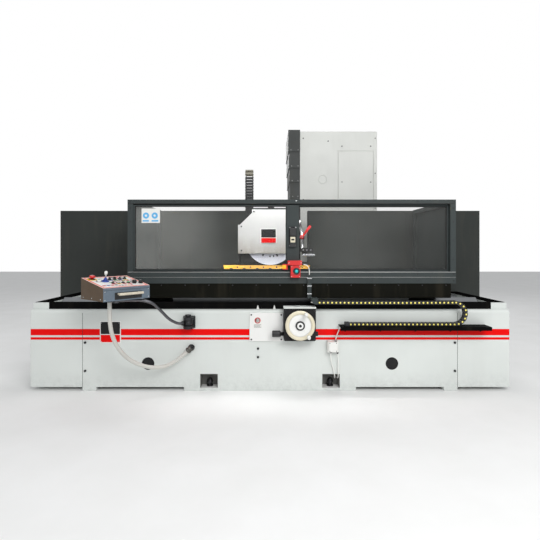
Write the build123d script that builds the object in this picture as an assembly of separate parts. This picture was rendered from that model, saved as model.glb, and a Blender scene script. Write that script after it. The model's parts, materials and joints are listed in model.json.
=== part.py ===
from build123d import *
import math
import os

os.makedirs("parts", exist_ok=True)

# ---------------------------------------------------------------- dimensions
# All in millimetres. X runs along the table, Y from the operator to the back,
# Z up. The origin is on the floor at the middle of the bed, under the wheel.
BED_HALF = 1500.0        # half length of the main bed casting
BED_END = 1916.0         # half length over the end covers
BED_FRONT = -500.0
BED_BACK = 440.0
BED_TOP = 648.0
BED_UNDER = 28.0         # underside of the bed between its feet
CENTRE_HALF = 688.0      # half length of the central foot
BED_ROUND = 26.0         # round on the front top edge
LIFT_X, LIFT_Z, LIFT_R = 975.0, 216.0, 46.0
POCKET = (418.0, 558.0, 20.0, 132.0)   # levelling pockets, x0 x1 z0 z1

TABLE_X0, TABLE_X1 = -810.0, 1158.0    # table casting, shown right of centre
TABLE_HALF_W = 350.0
TABLE_BOTTOM, TABLE_TOP = 688.4, 880.0
T_SLOT_W, T_SLOT_D, T_SLOT_HEAD_W, T_SLOT_HEAD_H = 18.0, 20.0, 32.0, 14.0
T_SLOTS = (-220.0, 0.0, 220.0)

ENC_X0, ENC_X1 = -1140.0, 1488.0       # sliding enclosure on the table
ENC_Z0, ENC_SILL, ENC_HEAD, ENC_Z1 = 856.0, 950.0, 1493.0, 1528.0
ENC_FRONT, ENC_INNER = -500.0, -440.0
STILE = 45.0
DOOR_SPLIT = 182.0
TROUGH_X0, TROUGH_X1 = -1100.0, 1448.0
TROUGH_Z0 = 740.0

WALL_X = 2149.0                        # rear splash wall
WALL_Y0, WALL_Y1 = 448.0, 478.0
WALL_Z0, WALL_Z1 = 612.0, 1524.0
NOTCH = (-240.0, 385.0, 1000.0)

COL_X0, COL_X1, COL_Y0, COL_Y1 = 343.0, 1223.0, 940.0, 1840.0
COL_Z0, COL_Z1 = 760.0, 2478.0

WHEEL_R, WHEEL_Z, WHEEL_Y0, WHEEL_Y1 = 225.0, 1211.0, 10.0, 85.0
SHAFT_R = 40.0
LEVER_X, LEVER_Z = 286.0, 1240.0       # coolant valve
RUN_FIT = 0.06                         # radial running clearance

HW_X, HW_Z, HW_R = 232.0, 542.0, 115.0  # cross handwheel
KNOB_Y, KNOB_Z = -562.0, 466.0

PIV_X, PIV_Y = -643.0, -560.0          # console arm pivot
CON_X, CON_Y, CON_YAW = -1115.0, -823.0, 50.0
CON_W, CON_D = 360.0, 308.0
CON_Z0, CON_ZF, CON_ZR = 775.0, 868.0, 925.0


# ---------------------------------------------------------------- helpers
def bx(x0, x1, y0, y1, z0, z1):
    return Pos((x0 + x1) / 2, (y0 + y1) / 2, (z0 + z1) / 2) * Box(x1 - x0, y1 - y0, z1 - z0)


def cz(x, y, r, z0, z1):
    return Pos(x, y, (z0 + z1) / 2) * Cylinder(r, z1 - z0)


def cy(x, z, r, y0, y1):
    return Pos(x, (y0 + y1) / 2, z) * Rot(90, 0, 0) * Cylinder(r, y1 - y0)


def cx(y, z, r, x0, x1):
    return Pos((x0 + x1) / 2, y, z) * Rot(0, 90, 0) * Cylinder(r, x1 - x0)


def prism_x(points, x0, x1):
    """Closed outline in (y, z), carried along X."""
    face = make_face(Polyline(*[(x0, y, z) for y, z in points], close=True))
    return extrude(face, amount=x1 - x0, dir=(1, 0, 0))


def prism_y(points, y0, y1):
    """Closed outline in (x, z), carried along Y."""
    face = make_face(Polyline(*[(x, y0, z) for x, z in points], close=True))
    return extrude(face, amount=y1 - y0, dir=(0, 1, 0))


def save(name, shape):
    export_step(shape, "parts/" + name + ".step")


def group(*solids):
    return Compound(children=list(solids))


def tube(name, points, r):
    """A round cord on straight runs joined by the largest tangent arcs."""
    p = [Vector(*q) for q in points]
    radii = []
    for a, b, c in zip(p, p[1:], p[2:]):
        u, v = b - a, c - b
        turn = math.radians(u.get_angle(v))
        radii.append(0.45 * min(u.length, v.length) / math.tan(turn / 2))
    path = FilletPolyline(*points, radius=radii)
    start = Plane(origin=p[0], z_dir=(p[1] - p[0]))
    solid = sweep(start * Circle(r), path=path)
    print(name, "length", round(path.length, 1), "volume ratio",
          round(solid.volume / (math.pi * r * r * path.length), 4),
          "radii", [round(x) for x in radii])
    return solid


def fillet_safe(shape, edges, radius):
    return fillet(edges, radius)


# ---------------------------------------------------------------- bed (fixed)
def bed_casting():
    s = bx(-BED_HALF, BED_HALF, BED_FRONT, BED_BACK, BED_UNDER, BED_TOP)
    e = [g for g in s.edges().filter_by(Axis.X) if g.center().Z > BED_TOP - 1 and g.center().Y < 0]
    s = fillet(e, BED_ROUND)
    s += bx(-CENTRE_HALF, CENTRE_HALF, BED_FRONT, BED_BACK, 0, BED_UNDER)
    for k in (-1, 1):
        s += bx(min(k * 1390, k * BED_HALF), max(k * 1390, k * BED_HALF), BED_FRONT, BED_BACK, 0, BED_UNDER)
    # cored cavities between the ribs, open underneath
    s -= bx(-1440, -730, -450, 390, -1, 550)
    s -= bx(730, 1440, -450, 390, -1, 550)
    s -= bx(-640, -40, -360, 390, -1, 550)
    s -= bx(40, 640, -360, 390, -1, 550)
    # channel for the table cylinder between the ways
    s -= bx(-BED_HALF - 1, BED_HALF + 1, -60, 60, 585, BED_TOP + 1)
    for k in (-1, 1):
        s -= cy(k * LIFT_X, LIFT_Z, LIFT_R, BED_FRONT - 1, BED_FRONT + 60)
        x0, x1 = sorted((k * POCKET[0], k * POCKET[1]))
        s -= bx(x0, x1, BED_FRONT - 1, BED_FRONT + 100, POCKET[2], POCKET[3])
    return s


def bed_end_cover(k):
    a, b = sorted((k * BED_HALF, k * BED_END))
    s = bx(a, b, BED_FRONT, BED_BACK, BED_UNDER, BED_TOP)
    e = [g for g in s.edges().filter_by(Axis.X) if g.center().Z > BED_TOP - 1 and g.center().Y < 0]
    s = fillet(e, BED_ROUND)
    c, d = sorted((k * (BED_HALF - 1), k * (BED_END - 8)))
    s -= bx(c, d, BED_FRONT + 8, BED_BACK - 8, BED_UNDER + 8, BED_TOP - 28)
    # slot over the table cylinder and its bracket
    c, d = sorted((k * (BED_HALF - 1), k * 1784))
    s -= bx(c, d, -60, 60, BED_TOP - 40, BED_TOP + 1)
    # end block that closes the way guard
    c, d = sorted((k * 1785, k * 1912))
    s += bx(c, d, -466, 430, BED_TOP, 698)
    return s


def guideways():
    flat = bx(-1780, 1780, 150, 290, BED_TOP, 688)
    vee = prism_x([(-290, BED_TOP), (-150, BED_TOP), (-150, 664), (-220, 714), (-290, 664)], -1780, 1780)
    r1 = bx(420, 520, 490, 2280, 600, 640)
    r2 = bx(1080, 1180, 490, 2280, 600, 640)
    return group(flat, vee, r1, r2)


def way_guards():
    # folded strips beside the ways, front and back
    f = bx(-1785, 1785, -466, -460, BED_TOP, 706) + bx(-1785, 1785, -466, -420, BED_TOP, 654)
    b = bx(-1785, 1785, 414, 420, BED_TOP, 706) + bx(-1785, 1785, 374, 420, BED_TOP, 654)
    return group(f, b)


def rear_bed():
    s = bx(200, 1366, BED_BACK, 2300, 0, 600)
    s -= bx(260, 1306, 500, 2240, -1, 540)
    return s


def splash_wall():
    s = bx(-WALL_X, WALL_X, WALL_Y0, WALL_Y1, 627, WALL_Z1)
    s -= bx(NOTCH[0], NOTCH[1], WALL_Y0 - 1, WALL_Y1 + 1, NOTCH[2], WALL_Z1 + 1)
    s += bx(-WALL_X, WALL_X, BED_BACK, WALL_Y1, WALL_Z0, 627)
    # hollow pressing: shallow bays behind, between upright folds
    for a, b in ((-2120, -1420), (-1390, -830), (-800, -270), (415, 880), (910, 1390), (1420, 2120)):
        s -= bx(a, b, WALL_Y1 - 22, WALL_Y1 + 1, 660, WALL_Z1 - 30)
    return s


def cover_plate():
    s = bx(-163, 104, BED_FRONT - 12, BED_FRONT, 396, 622)
    e = s.edges().filter_by(Axis.Y)
    s = fillet(e, 6)
    return s


def handwheel_box():
    s = bx(109, 356, -600, BED_FRONT, 417, 677)
    s = fillet(s.edges().filter_by(Axis.Y), 10)
    s -= bx(121, 344, -588, BED_FRONT + 1, 429, 665)
    s -= cy(HW_X, HW_Z, 12 + RUN_FIT, -601, -587)
    s -= cx(KNOB_Y, KNOB_Z, 8 + RUN_FIT, 108, 122)
    s += cx(KNOB_Y, KNOB_Z, 18, 356, 376)
    return s


def chain_tray():
    s = bx(545, 1714, -620, BED_FRONT, 525, 529)
    s += bx(545, 1714, -620, -616, 500, 525)
    for x in (600, 880, 1160, 1440, 1680):
        s += prism_x([(-616, 525), (BED_FRONT, 525), (BED_FRONT, 470)], x - 3, x + 3)
    return s


def junction_box():
    s = bx(462, 531, -556, BED_FRONT, 319, 400)
    s = fillet(s.edges().filter_by(Axis.Y), 4)
    s += bx(455, 462, -548, BED_FRONT, 316, 403)
    s += bx(531, 539, -548, BED_FRONT, 316, 403)
    s += cz(482, -530, 9, 305, 319)
    s += cz(535, -530, 4, 305, 316) + cz(520, -528, 8, 400, 410)
    return s


def pivot_block():
    # clevis with its pin; the arm hub turns between the ears
    s = bx(-690, -596, -522, BED_FRONT, 505, 596)
    s += bx(-680, -606, -560, -522, 505, 529) + cz(PIV_X, PIV_Y, 37, 505, 529)
    s += bx(-680, -606, -560, -522, 573, 596) + cz(PIV_X, PIV_Y, 37, 573, 596)
    s += cz(PIV_X, PIV_Y, 12, 529, 573)
    s += cz(PIV_X, PIV_Y, 16, 596, 604)
    return s


def table_cylinder():
    s = cx(0, 640, 45, -1560, 160)
    s += bx(-1400, -1360, -50, 50, 585, 640) + bx(100, 160, -50, 50, 585, 640)
    s -= cx(0, 640, 32, -1540, 140)
    s -= cx(0, 640, 18 + RUN_FIT, 139, 161)
    return s


def cross_feed_drive():
    screw = cy(800, 622, 16, 560, 2300)
    b1 = bx(770, 830, 500, 560, 600, 639)
    motor = cy(800, 622, 68, 2300, 2480) + bx(724, 876, 2300, 2316, 546, 698) + bx(770, 830, 2380, 2450, 688, 716)
    return group(screw + b1 + motor)


def bed_fittings():
    parts = []
    for k in (-1, 1):
        x = k * (POCKET[0] + POCKET[1]) / 2
        s = cz(x, -440, 26, POCKET[2], POCKET[2] + 12) + cz(x, -440, 15, POCKET[2] + 12, POCKET[2] + 62)
        s += cz(x, -440, 24, POCKET[2] + 30, POCKET[2] + 48)
        parts.append(s)
        for z in (158, 384):
            parts.append(cy(k * 1478, z, 9, BED_FRONT - 6, BED_FRONT))
    for z in (268, 336):
        parts.append(cy(-96, z, 9, BED_FRONT - 5, BED_FRONT))
    # elbow fitting where the console conduit enters the bed
    g = cy(-628, 345, 26, BED_FRONT - 14, BED_FRONT)
    d = Vector(85, 0, 74).normalized()
    p = Plane(origin=(-650, -540, 326), z_dir=d)
    g += (p * Cylinder(21, 44, align=(Align.CENTER, Align.CENTER, Align.MIN)))
    g += cy(-628, 345, 20, -545, BED_FRONT - 14)
    parts.append(g)
    return group(*parts)


def table_chain():
    t = 14.0
    y0, y1 = -592.0, -547.0
    xc, zc, r = 1442.0, 629.0, 85.0
    s = bx(376.4, xc, y0, y1, zc + r - t, zc + r + t)
    s += bx(616, xc, y0, y1, zc - r - t, zc - r + t)
    ring = cy(xc, zc, r + t, y0, y1) - cy(xc, zc, r - t, y0 - 1, y1 + 1)
    ring -= bx(xc - 200, xc, y0 - 2, y1 + 2, zc - 200, zc + 200)
    return s + ring


def head_chain():
    t = 14.0
    x0, x1 = -278.0, -190.0
    yc, zc, r = 920.0, 1965.0, 56.0
    s = bx(x0, x1, yc - r - t, yc - r + t, 1400, zc)
    s += bx(x0, x1, yc + r - t, yc + r + t, 1250, zc)
    ring = cx(yc, zc, r + t, x0, x1) - cx(yc, zc, r - t, x0 - 1, x1 + 1)
    ring -= bx(x0 - 2, x1 + 2, yc - 200, yc + 200, zc - 300, zc)
    return s + ring


# ---------------------------------------------------------------- table
def table_casting():
    s = bx(TABLE_X0, TABLE_X1, -TABLE_HALF_W, TABLE_HALF_W, TABLE_BOTTOM, TABLE_TOP)
    s -= prism_x([(-260, 686.2), (-220, 714.8), (-180, 686.2)], TABLE_X0 - 1, TABLE_X1 + 1)
    for y in T_SLOTS:
        s -= bx(TABLE_X0 - 1, TABLE_X1 + 1, y - T_SLOT_W / 2, y + T_SLOT_W / 2, TABLE_TOP - T_SLOT_D - 1, TABLE_TOP + 1)
        s -= bx(TABLE_X0 - 1, TABLE_X1 + 1, y - T_SLOT_HEAD_W / 2, y + T_SLOT_HEAD_W / 2,
                TABLE_TOP - T_SLOT_D - T_SLOT_HEAD_H, TABLE_TOP - T_SLOT_D)
    s += bx(TABLE_X1 - 24, TABLE_X1, -40, 40, 612, TABLE_BOTTOM)
    return s


def piston_rod():
    return cx(0, 640, 31.9, -560, -500) + cx(0, 640, 18, -500, TABLE_X1 - 24)


def coolant_trough():
    y0, y1 = -495.0, 400.0
    z0, z1 = TROUGH_Z0, ENC_Z0
    s = bx(TROUGH_X0, TROUGH_X1, y0, y1, z0, z1)
    s -= bx(TROUGH_X0 + 5, TROUGH_X1 - 5, y0 + 5, y1 - 5, z0 + 5, z1 + 1)
    s -= bx(TABLE_X0, TABLE_X1, -TABLE_HALF_W, TABLE_HALF_W, z0 - 1, z0 + 6)
    return s


def enclosure_frame():
    s = bx(ENC_X0, ENC_X1, ENC_FRONT, ENC_INNER, ENC_Z0, ENC_Z1)
    s -= bx(ENC_X0 + STILE, ENC_X1 - STILE, ENC_FRONT - 1, ENC_INNER + 1, ENC_SILL, ENC_HEAD)
    # folded joint between the two sill rails
    s -= bx(ENC_X0 - 1, ENC_X1 + 1, ENC_FRONT - 1, ENC_FRONT + 3, 905, 909)
    # guide ribs for the two door tracks
    for z0, z1 in ((ENC_SILL, ENC_SILL + 8), (ENC_HEAD - 8, ENC_HEAD)):
        s += bx(ENC_X0 + STILE, ENC_X1 - STILE, -471.5, -468.5, z0, z1)
        s += bx(ENC_X0 + STILE, ENC_X1 - STILE, ENC_INNER - 2, ENC_INNER, z0, z1)
    return s


def enclosure_sides():
    out = []
    for x0 in (ENC_X0, ENC_X1 - 30):
        s = bx(x0, x0 + 30, ENC_INNER, 430, ENC_Z0, ENC_Z1)
        s -= bx(x0 + (5 if x0 < 0 else -1), x0 + (31 if x0 < 0 else 25), ENC_INNER + 40, 390, ENC_Z0 + 40, ENC_Z1 - 40)
        out.append(s)
    return group(*out)


def work_fixture():
    s = prism_y([(-440, 980), (-415, TABLE_TOP), (345, TABLE_TOP), (378, 980)], 100, 140)
    for i in range(6):
        s -= bx(-378 + 122 * i, -352 + 122 * i, 99, 141, 938, 954)
    for i in range(5):
        s -= cy(-306 + 122 * i, 962, 6, 99, 141)
    s += bx(-415, 345, 140, 200, TABLE_TOP, TABLE_TOP + 18)
    return s


def door_switch():
    s = bx(164, 240, -546, ENC_FRONT, 906, 961)
    s += bx(164, 240, -546, -501, 961, 1000)
    s += bx(140, 252, -552, -501, 1004, 1040) + bx(180, 225, -540, -501, 1000, 1004)
    s -= cy(209, 957, 15, -547, -522)
    s += cx(-525, 1010, 6, 252, 262)
    return s


def switch_button():
    return cy(209, 957, 13, -552, -532)


def chain_bracket():
    s = bx(322, 376, -592, -495, 738, 746)
    s += bx(322, 376, -592, -547, 700, 738)
    e = [g for g in s.edges().filter_by(Axis.Y) if g.center().X < 323 and g.center().Z < 701]
    s = chamfer(e, 24)
    # upright cable duct in front of the sill rails
    s += bx(298, 330, -518, ENC_FRONT, ENC_Z0, 924) + bx(298, 330, -518, -495, 738, ENC_Z0)
    return s


SWITCH_LEAD = [(262, -525, 1010), (282, -525, 1009), (300, -522, 998), (311, -517, 979),
               (314, -511, 953), (314, -509, 924)]


def door(x0, x1, y0, y1, wide_left, wide_right):
    s = bx(x0, x1, y0, y1, ENC_SILL + 8.5, ENC_HEAD - 8.5)
    s -= bx(x0 + wide_left, x1 - wide_right, y0 - 1, y1 + 1, ENC_SILL + 16, ENC_HEAD - 16)
    return s


def pane(x0, x1, y0, y1, wide_left, wide_right):
    m = (y0 + y1) / 2
    return bx(x0 + wide_left, x1 - wide_right, m - 3, m + 3, ENC_SILL + 16, ENC_HEAD - 16)


LD = (ENC_X0 + STILE + 0.5, DOOR_SPLIT + 50, -497.0, -474.0, 12.0, 100.0)
RD = (DOOR_SPLIT - 40, ENC_X1 - STILE - 0.5, -466.0, -443.0, 90.0, 12.0)


def left_door():
    s = door(*LD)
    # latch: two black grips on a plate, at the meeting stile
    s += bx(150, 214, -503, -497, 1150, 1314)
    s += bx(160, 204, -516, -503, 1180, 1232)
    for z0, z1 in ((1238, 1296), (1150, 1176)):
        s += bx(160, 170, -526, -503, z0, z1) + bx(194, 204, -526, -503, z0, z1)
    return s


def right_door():
    s = door(*RD)
    s -= bx(RD[0] + 30, RD[0] + 60, RD[2] - 1, RD[2] + 8, 1190, 1290)   # flush pull
    return s


# ---------------------------------------------------------------- column
def cross_saddle():
    s = bx(COL_X0, COL_X1, COL_Y0, COL_Y1, 640.4, COL_Z0)
    s += bx(760, 840, 1300, 1400, 602.5, 640.4)
    s -= cy(800, 622, 16 + RUN_FIT, 1299, 1401)
    # post that carries the fixed end of the head's cable chain
    s += bx(-278, COL_X0, 961, 991, 650, 710)
    s += bx(-278, -190, 961, 991, 710, 1250)
    return s


def column():
    s = bx(COL_X0, COL_X1, COL_Y0, COL_Y1, COL_Z0, COL_Z1)
    s -= bx(COL_X0 + 40, COL_X1 - 40, COL_Y0 + 40, COL_Y1 - 40, COL_Z0 - 1, COL_Z1 - 40)
    s -= cy(600, 1930, 46, COL_Y0 - 1, COL_Y0 + 41)
    # vertical ways on the wheelhead side
    s += bx(313, COL_X0, 1000, 1060, 790, 2440) + bx(313, COL_X0, 1500, 1560, 790, 2440)
    # joints of the front access panels
    s -= bx(775, 779, COL_Y0 - 1, COL_Y0 + 4, 800, 2257)
    s -= bx(775, 1184, COL_Y0 - 1, COL_Y0 + 4, 2253, 2257)
    s -= bx(1180, 1184, COL_Y0 - 1, COL_Y0 + 4, 800, 2257)
    return s


def vertical_drive():
    s = cz(264, 1280, 42, 764, 888) + bx(222, COL_X0, 1236, 1324, 764, 780)
    s += cz(264, 1280, 18, 888, 2440)
    s += bx(240, COL_X0, 1250, 1310, 2438, 2470)
    return s


def cover_segment(k, z0, z1):
    g = 7.0 * k
    x0, y0, y1 = 209 + g, 930 + g, 1630 - g
    x1 = COL_X0 if k == 0 else COL_X0 - 0.5
    s = bx(x0, x1, y0, y1, z0, z1)
    s -= bx(x0 + 4, x1 + 1, y0 + 4, y1 - 4, z0 - 1, z1 - (4 if k == 0 else -1))
    return s


# ---------------------------------------------------------------- wheelhead
def wheelhead():
    s = bx(-125, 205, 125, 1600, 1060, 1400)
    s = fillet([g for g in s.edges().filter_by(Axis.Y) if g.center().X < 0], 40)
    s += bx(205, 312.4, 980, 1580, 900, 1500)
    s -= cy(0, WHEEL_Z, SHAFT_R + RUN_FIT, 124, 900)
    # hollow ram between the front bearing, the rear bearing and the motor wall
    s -= bx(-100, 180, 420, 780, 1085, 1375)
    s -= bx(-100, 180, 920, 1570, 1085, 1375)
    s -= cz(264, 1280, 18 + RUN_FIT, 899, 1501)
    # shelf for the moving end of the cable chain
    s += bx(-278, -60, 845, 895, 1350, 1400)
    # spindle motor at the back
    s += cy(0, WHEEL_Z + 10, 130, 1600, 1880) + cy(0, WHEEL_Z + 10, 138, 1880, 1905)
    s += bx(-60, 60, 1640, 1780, 1350, 1400)
    return s


GUARD = [(-277, 1092), (262, 1092), (262, 1492), (-164, 1492), (-164, 1460), (-277, 1351)]


def wheel_guard():
    outer = [(-293, 1006), (278, 1006), (278, 1508), (-172, 1508), (-172, 1469), (-293, 1358)]
    inner = [(-279, 1000), (264, 1000), (264, 1494), (-160, 1494), (-160, 1464), (-279, 1352)]
    s = prism_y(outer, -20, 125)
    s -= prism_y(inner, -21, 107)
    s -= bx(-238, 238, -21, 126, 1000, 1070)
    s -= cy(0, WHEEL_Z, 60, 100, 126)
    return s


def guard_cover():
    s = prism_y(GUARD, -45, -20)
    s -= cy(0, WHEEL_Z, 30, -21 - 10, -19)
    # cover screws
    for x, z in ((-259, 1338), (-259, 1120), (244, 1474), (244, 1110), (-146, 1474)):
        s += cy(x, z, 9, -50, -45)
    # flange that meets the guard housing
    s += prism_y([(-292, 1092), (-277, 1092), (-277, 1351), (-292, 1357)], -26, -20)
    return s


def coolant_nozzle():
    # manifold on the side of the guard, riser, valve body and slanting nozzle tube
    s = bx(278, 386, -86, 60, 1106, 1142) + bx(296, 340, -60, 40, 1086, 1106)
    s += bx(290, 405, -78, -50, 1068, 1088)
    s += cz(292, -71, 11, 1142, 1222)
    s += bx(268, 310, -90, -52, 1222, 1258)
    d = Vector(-26, 0, 142)
    pl = Plane(origin=(290, -71, 1250), z_dir=d.normalized())
    s += pl * Cylinder(11, 150, align=(Align.CENTER, Align.CENTER, Align.MIN))
    s += cy(LEVER_X, LEVER_Z, 9, -98, -90)
    return s


def valve_lever():
    s = cy(LEVER_X, LEVER_Z, 18, -113, -98.4)
    s += prism_y([(LEVER_X - 10, LEVER_Z + 8), (LEVER_X + 9, LEVER_Z - 6), (LEVER_X + 80, LEVER_Z + 88),
                  (LEVER_X + 62, LEVER_Z + 102)], -113, -104)
    return s


# ---------------------------------------------------------------- spindle
def spindle():
    s = cy(0, WHEEL_Z, SHAFT_R, WHEEL_Y1, 880)
    s += cy(0, WHEEL_Z, 32, -8, WHEEL_Y1)
    s += cy(0, WHEEL_Z, 95, WHEEL_Y1, 100) + cy(0, WHEEL_Z, 92, 0, WHEEL_Y0)
    s += cy(0, WHEEL_Z, 28, -14, 0)
    return s


def grinding_wheel():
    s = cy(0, WHEEL_Z, WHEEL_R, WHEEL_Y0, WHEEL_Y1) - cy(0, WHEEL_Z, 32, WHEEL_Y0 - 1, WHEEL_Y1 + 1)
    e = s.edges().filter_by(GeomType.CIRCLE).filter_by(lambda g: g.radius > 200)
    return chamfer(e, 3)


# ---------------------------------------------------------------- hand controls
def handwheel():
    ring = cy(HW_X, HW_Z, HW_R, -650, -618) - cy(HW_X, HW_Z, HW_R - 30, -651, -617)
    ring = fillet(ring.edges().filter_by(GeomType.CIRCLE), 8)
    s = ring + cy(HW_X, HW_Z, HW_R - 29, -636, -622)
    s += cy(HW_X, HW_Z, 24, -654, -602) + cy(HW_X, HW_Z, 12, -602, -560)
    s -= cy(HW_X, HW_Z, 10, -655, -646)
    for dx, dz in ((42, 92), (62, -81)):
        s += cy(HW_X + dx, HW_Z + dz, 9, -672, -650) + cy(HW_X + dx, HW_Z + dz, 15, -718, -672)
    return s


def clutch_knob():
    s = cx(KNOB_Y, KNOB_Z, 26, 16, 84) + cx(KNOB_Y, KNOB_Z, 15, 84, 108) + cx(KNOB_Y, KNOB_Z, 8, 108, 160)
    return s


ARM = [(PIV_X - 22, PIV_Y - 14, 551), (-712, -607, 553), (-770, -650, 592), (-822, -690, 664),
       (-880, -732, 736), (-965, -768, 757), (-1110, -821, 757)]


def console_arm():
    s = tube("console_arm", ARM, 11)
    hub = cz(PIV_X, PIV_Y, 32, 529.4, 572.6) - cz(PIV_X, PIV_Y, 12 + RUN_FIT, 529, 573)
    s = (s - cz(PIV_X, PIV_Y, 30, 520, 580)) + hub
    s += cz(CON_X, CON_Y, 24, 742, 774.6) + cz(CON_X, CON_Y, 14, 774.6, 812)
    return s


def con(lx, ly, z):
    c, s = math.cos(math.radians(CON_YAW)), math.sin(math.radians(CON_YAW))
    return (CON_X + c * lx - s * ly, CON_Y + s * lx + c * ly, z)


SLOPE = math.hypot(CON_D, CON_ZR - CON_ZF)
_ny, _nz = -(CON_ZR - CON_ZF) / SLOPE, CON_D / SLOPE
NORMAL = Vector(-math.sin(math.radians(CON_YAW)) * _ny, math.cos(math.radians(CON_YAW)) * _ny, _nz)


def spot(u, v, h=0.0):
    """A point on the sloping control panel: u along it, v up it from its front edge."""
    p = con(u, -CON_D / 2 + v * CON_D / SLOPE, CON_ZF + v * (CON_ZR - CON_ZF) / SLOPE)
    return Vector(*p) + NORMAL * h


def peg(u, v, r, h0, h1):
    pl = Plane(origin=spot(u, v, h0), x_dir=Vector(*con(1, 0, 0)) - Vector(*con(0, 0, 0)), z_dir=NORMAL)
    return pl * Cylinder(r, h1 - h0, align=(Align.CENTER, Align.CENTER, Align.MIN))


ESTOP, START, STICK = (-131, 250), (-116, 180), (-72, 174)
PUSH = [(-46, 116), (-8, 112), (30, 108), (68, 104)]
KNOBS = [(104, 82), (149, 72)]
SELECT = [(-18, 214), (22, 214), (62, 214), (102, 214)]


def console_box():
    def profile(o, zb):
        y0, y1 = -CON_D / 2 + o, CON_D / 2 - o
        f = lambda y: CON_ZF + (y + CON_D / 2) * (CON_ZR - CON_ZF) / CON_D - o * 1.02
        return [(y0, zb), (y1, zb), (y1, f(y1)), (y0, f(y0))]

    def solid(o, x, zb):
        pts = [con(-x, y, z) for y, z in profile(o, zb)]
        face = make_face(Polyline(*pts, close=True))
        d = Vector(*con(1, 0, 0)) - Vector(*con(0, 0, 0))
        return extrude(face, amount=2 * x, dir=d)

    s = solid(0, CON_W / 2, CON_Z0) - solid(4, CON_W / 2 - 4, CON_Z0 + 4)
    s += cz(CON_X, CON_Y, 30, CON_Z0, 808)
    s -= cz(CON_X, CON_Y, 14 + RUN_FIT, CON_Z0 - 1, 820)
    for (u, v), r in ((ESTOP, 11), (START, 14), (STICK, 16), (KNOBS[0], 6), (KNOBS[1], 6)):
        s -= peg(u, v, r + 0.5, -12, 5)
    for u, v in PUSH:
        s -= peg(u, v, 8.5, -12, 5)
    # grab handle across the front
    d = Vector(*con(0, -1, 0)) - Vector(*con(0, 0, 0))
    for u in (-70, 88):
        pl = Plane(origin=con(u, -CON_D / 2, 822), z_dir=d)
        s += pl * Cylinder(7, 34, align=(Align.CENTER, Align.CENTER, Align.MIN))
    ux = Vector(*con(1, 0, 0)) - Vector(*con(0, 0, 0))
    pl = Plane(origin=con(-84, -CON_D / 2 - 38, 822), z_dir=ux)
    s += pl * Cylinder(9, 186, align=(Align.CENTER, Align.CENTER, Align.MIN))
    # conduit entry under the box
    s += cz(CONDUIT[0][0], CONDUIT[0][1], 20, CONDUIT[0][2], CON_Z0)
    return s


def view_point(px, py, y):
    """Place a route point by its direction and its distance back."""
    r = 3360.0 / (3860.0 + y)
    return (round((px - 270) / r * 8, 1), y, round(1124 - (py - 250) / r * 8, 1))


# route of the flexible conduit from the console to the bed
CONDUIT = [(-1143, -868, 757), (-1143, -868, 700), (-1146, -858, 610), (-1140, -832, 508),
           (-1112, -785, 400), (-1050, -725, 300), (-950, -660, 232), (-840, -606, 212),
           (-752, -562, 240), (-693, -540, 289), (-650, -540, 326)]
TRAY_LEAD = [(551, -540, 525), (548, -540, 498), (537, -536, 470), (526, -531, 440), (520, -528, 410)]
LEAD_A = [(482, -530, 305), (481, -529, 276), (484, -524, 244), (494, -519, 208), (504, -516, 172),
          (512, -514, 138), (518, -500, 110), (521, -472, 92), (523, -436, 84), (524, -400, 82)]
LEAD_B = [(535, -530, 305), (539, -529, 276), (543, -524, 244), (543, -519, 208), (541, -516, 172),
          (543, -513, 138), (545, -499, 108), (547, -470, 90), (546, -435, 83), (544, -400, 84)]


def estop_button():
    return peg(*ESTOP, 11, -8, 12) + peg(*ESTOP, 21, 12, 30)


def start_button():
    return peg(*START, 14, -8, 16)


def joystick():
    c = spot(*STICK, 4)
    s = Pos(*c) * Sphere(13.5)
    s -= peg(*STICK, 20, -30, -6)
    s += peg(*STICK, 5, 4, 62) + Pos(*spot(*STICK, 66)) * Sphere(11)
    return s


def push_buttons():
    return group(*[peg(u, v, 8, -8, 9) for u, v in PUSH])


def override_knob(i):
    u, v = KNOBS[i]
    return peg(u, v, 6, -10, 4) + peg(u, v, 16, 2, 24) + peg(u, v - 9, 3, 24, 25.5)


def selector_switches():
    out = []
    for u, v in SELECT:
        out.append(peg(u, v, 14, 0, 5) + peg(u, v, 10, 5, 20))
    return group(*out)


# ---------------------------------------------------------------- write
save("bed_casting", bed_casting())
save("bed_end_cover_left", bed_end_cover(-1))
save("bed_end_cover_right", bed_end_cover(1))
save("guideways", guideways())
save("way_guards", way_guards())
save("rear_bed", rear_bed())
save("splash_wall", splash_wall())
save("cover_plate", cover_plate())
save("handwheel_box", handwheel_box())
save("chain_tray", chain_tray())
save("junction_box", junction_box())
save("pivot_block", pivot_block())
save("table_cylinder", table_cylinder())
save("cross_feed_drive", cross_feed_drive())
save("bed_fittings", bed_fittings())
save("table_chain", table_chain())
save("pendant_conduit", tube("pendant_conduit", CONDUIT, 15))
save("tray_lead", tube("tray_lead", TRAY_LEAD, 4))
save("pocket_lead_left", tube("pocket_lead_left", LEAD_A, 4))
save("pocket_lead_right", tube("pocket_lead_right", LEAD_B, 4))
save("table_casting", table_casting())
save("piston_rod", piston_rod())
save("coolant_trough", coolant_trough())
save("enclosure_frame", enclosure_frame())
save("enclosure_sides", enclosure_sides())
save("work_fixture", work_fixture())
save("door_switch", door_switch())
save("switch_button", switch_button())
save("switch_lead", tube("switch_lead", SWITCH_LEAD, 3.5))
save("chain_bracket", chain_bracket())
save("left_door", left_door())
save("left_pane", pane(*LD))
save("right_door", right_door())
save("right_pane", pane(*RD))
save("cross_saddle", cross_saddle())
save("column", column())
save("vertical_drive", vertical_drive())
save("cover_segment_1", cover_segment(0, 2245, 2495))
save("cover_segment_2", cover_segment(1, 2061, 2275))
save("cover_segment_3", cover_segment(2, 1895, 2090))
save("cover_segment_4", cover_segment(3, 1500, 1915))
save("head_chain", head_chain())
save("wheelhead", wheelhead())
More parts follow.
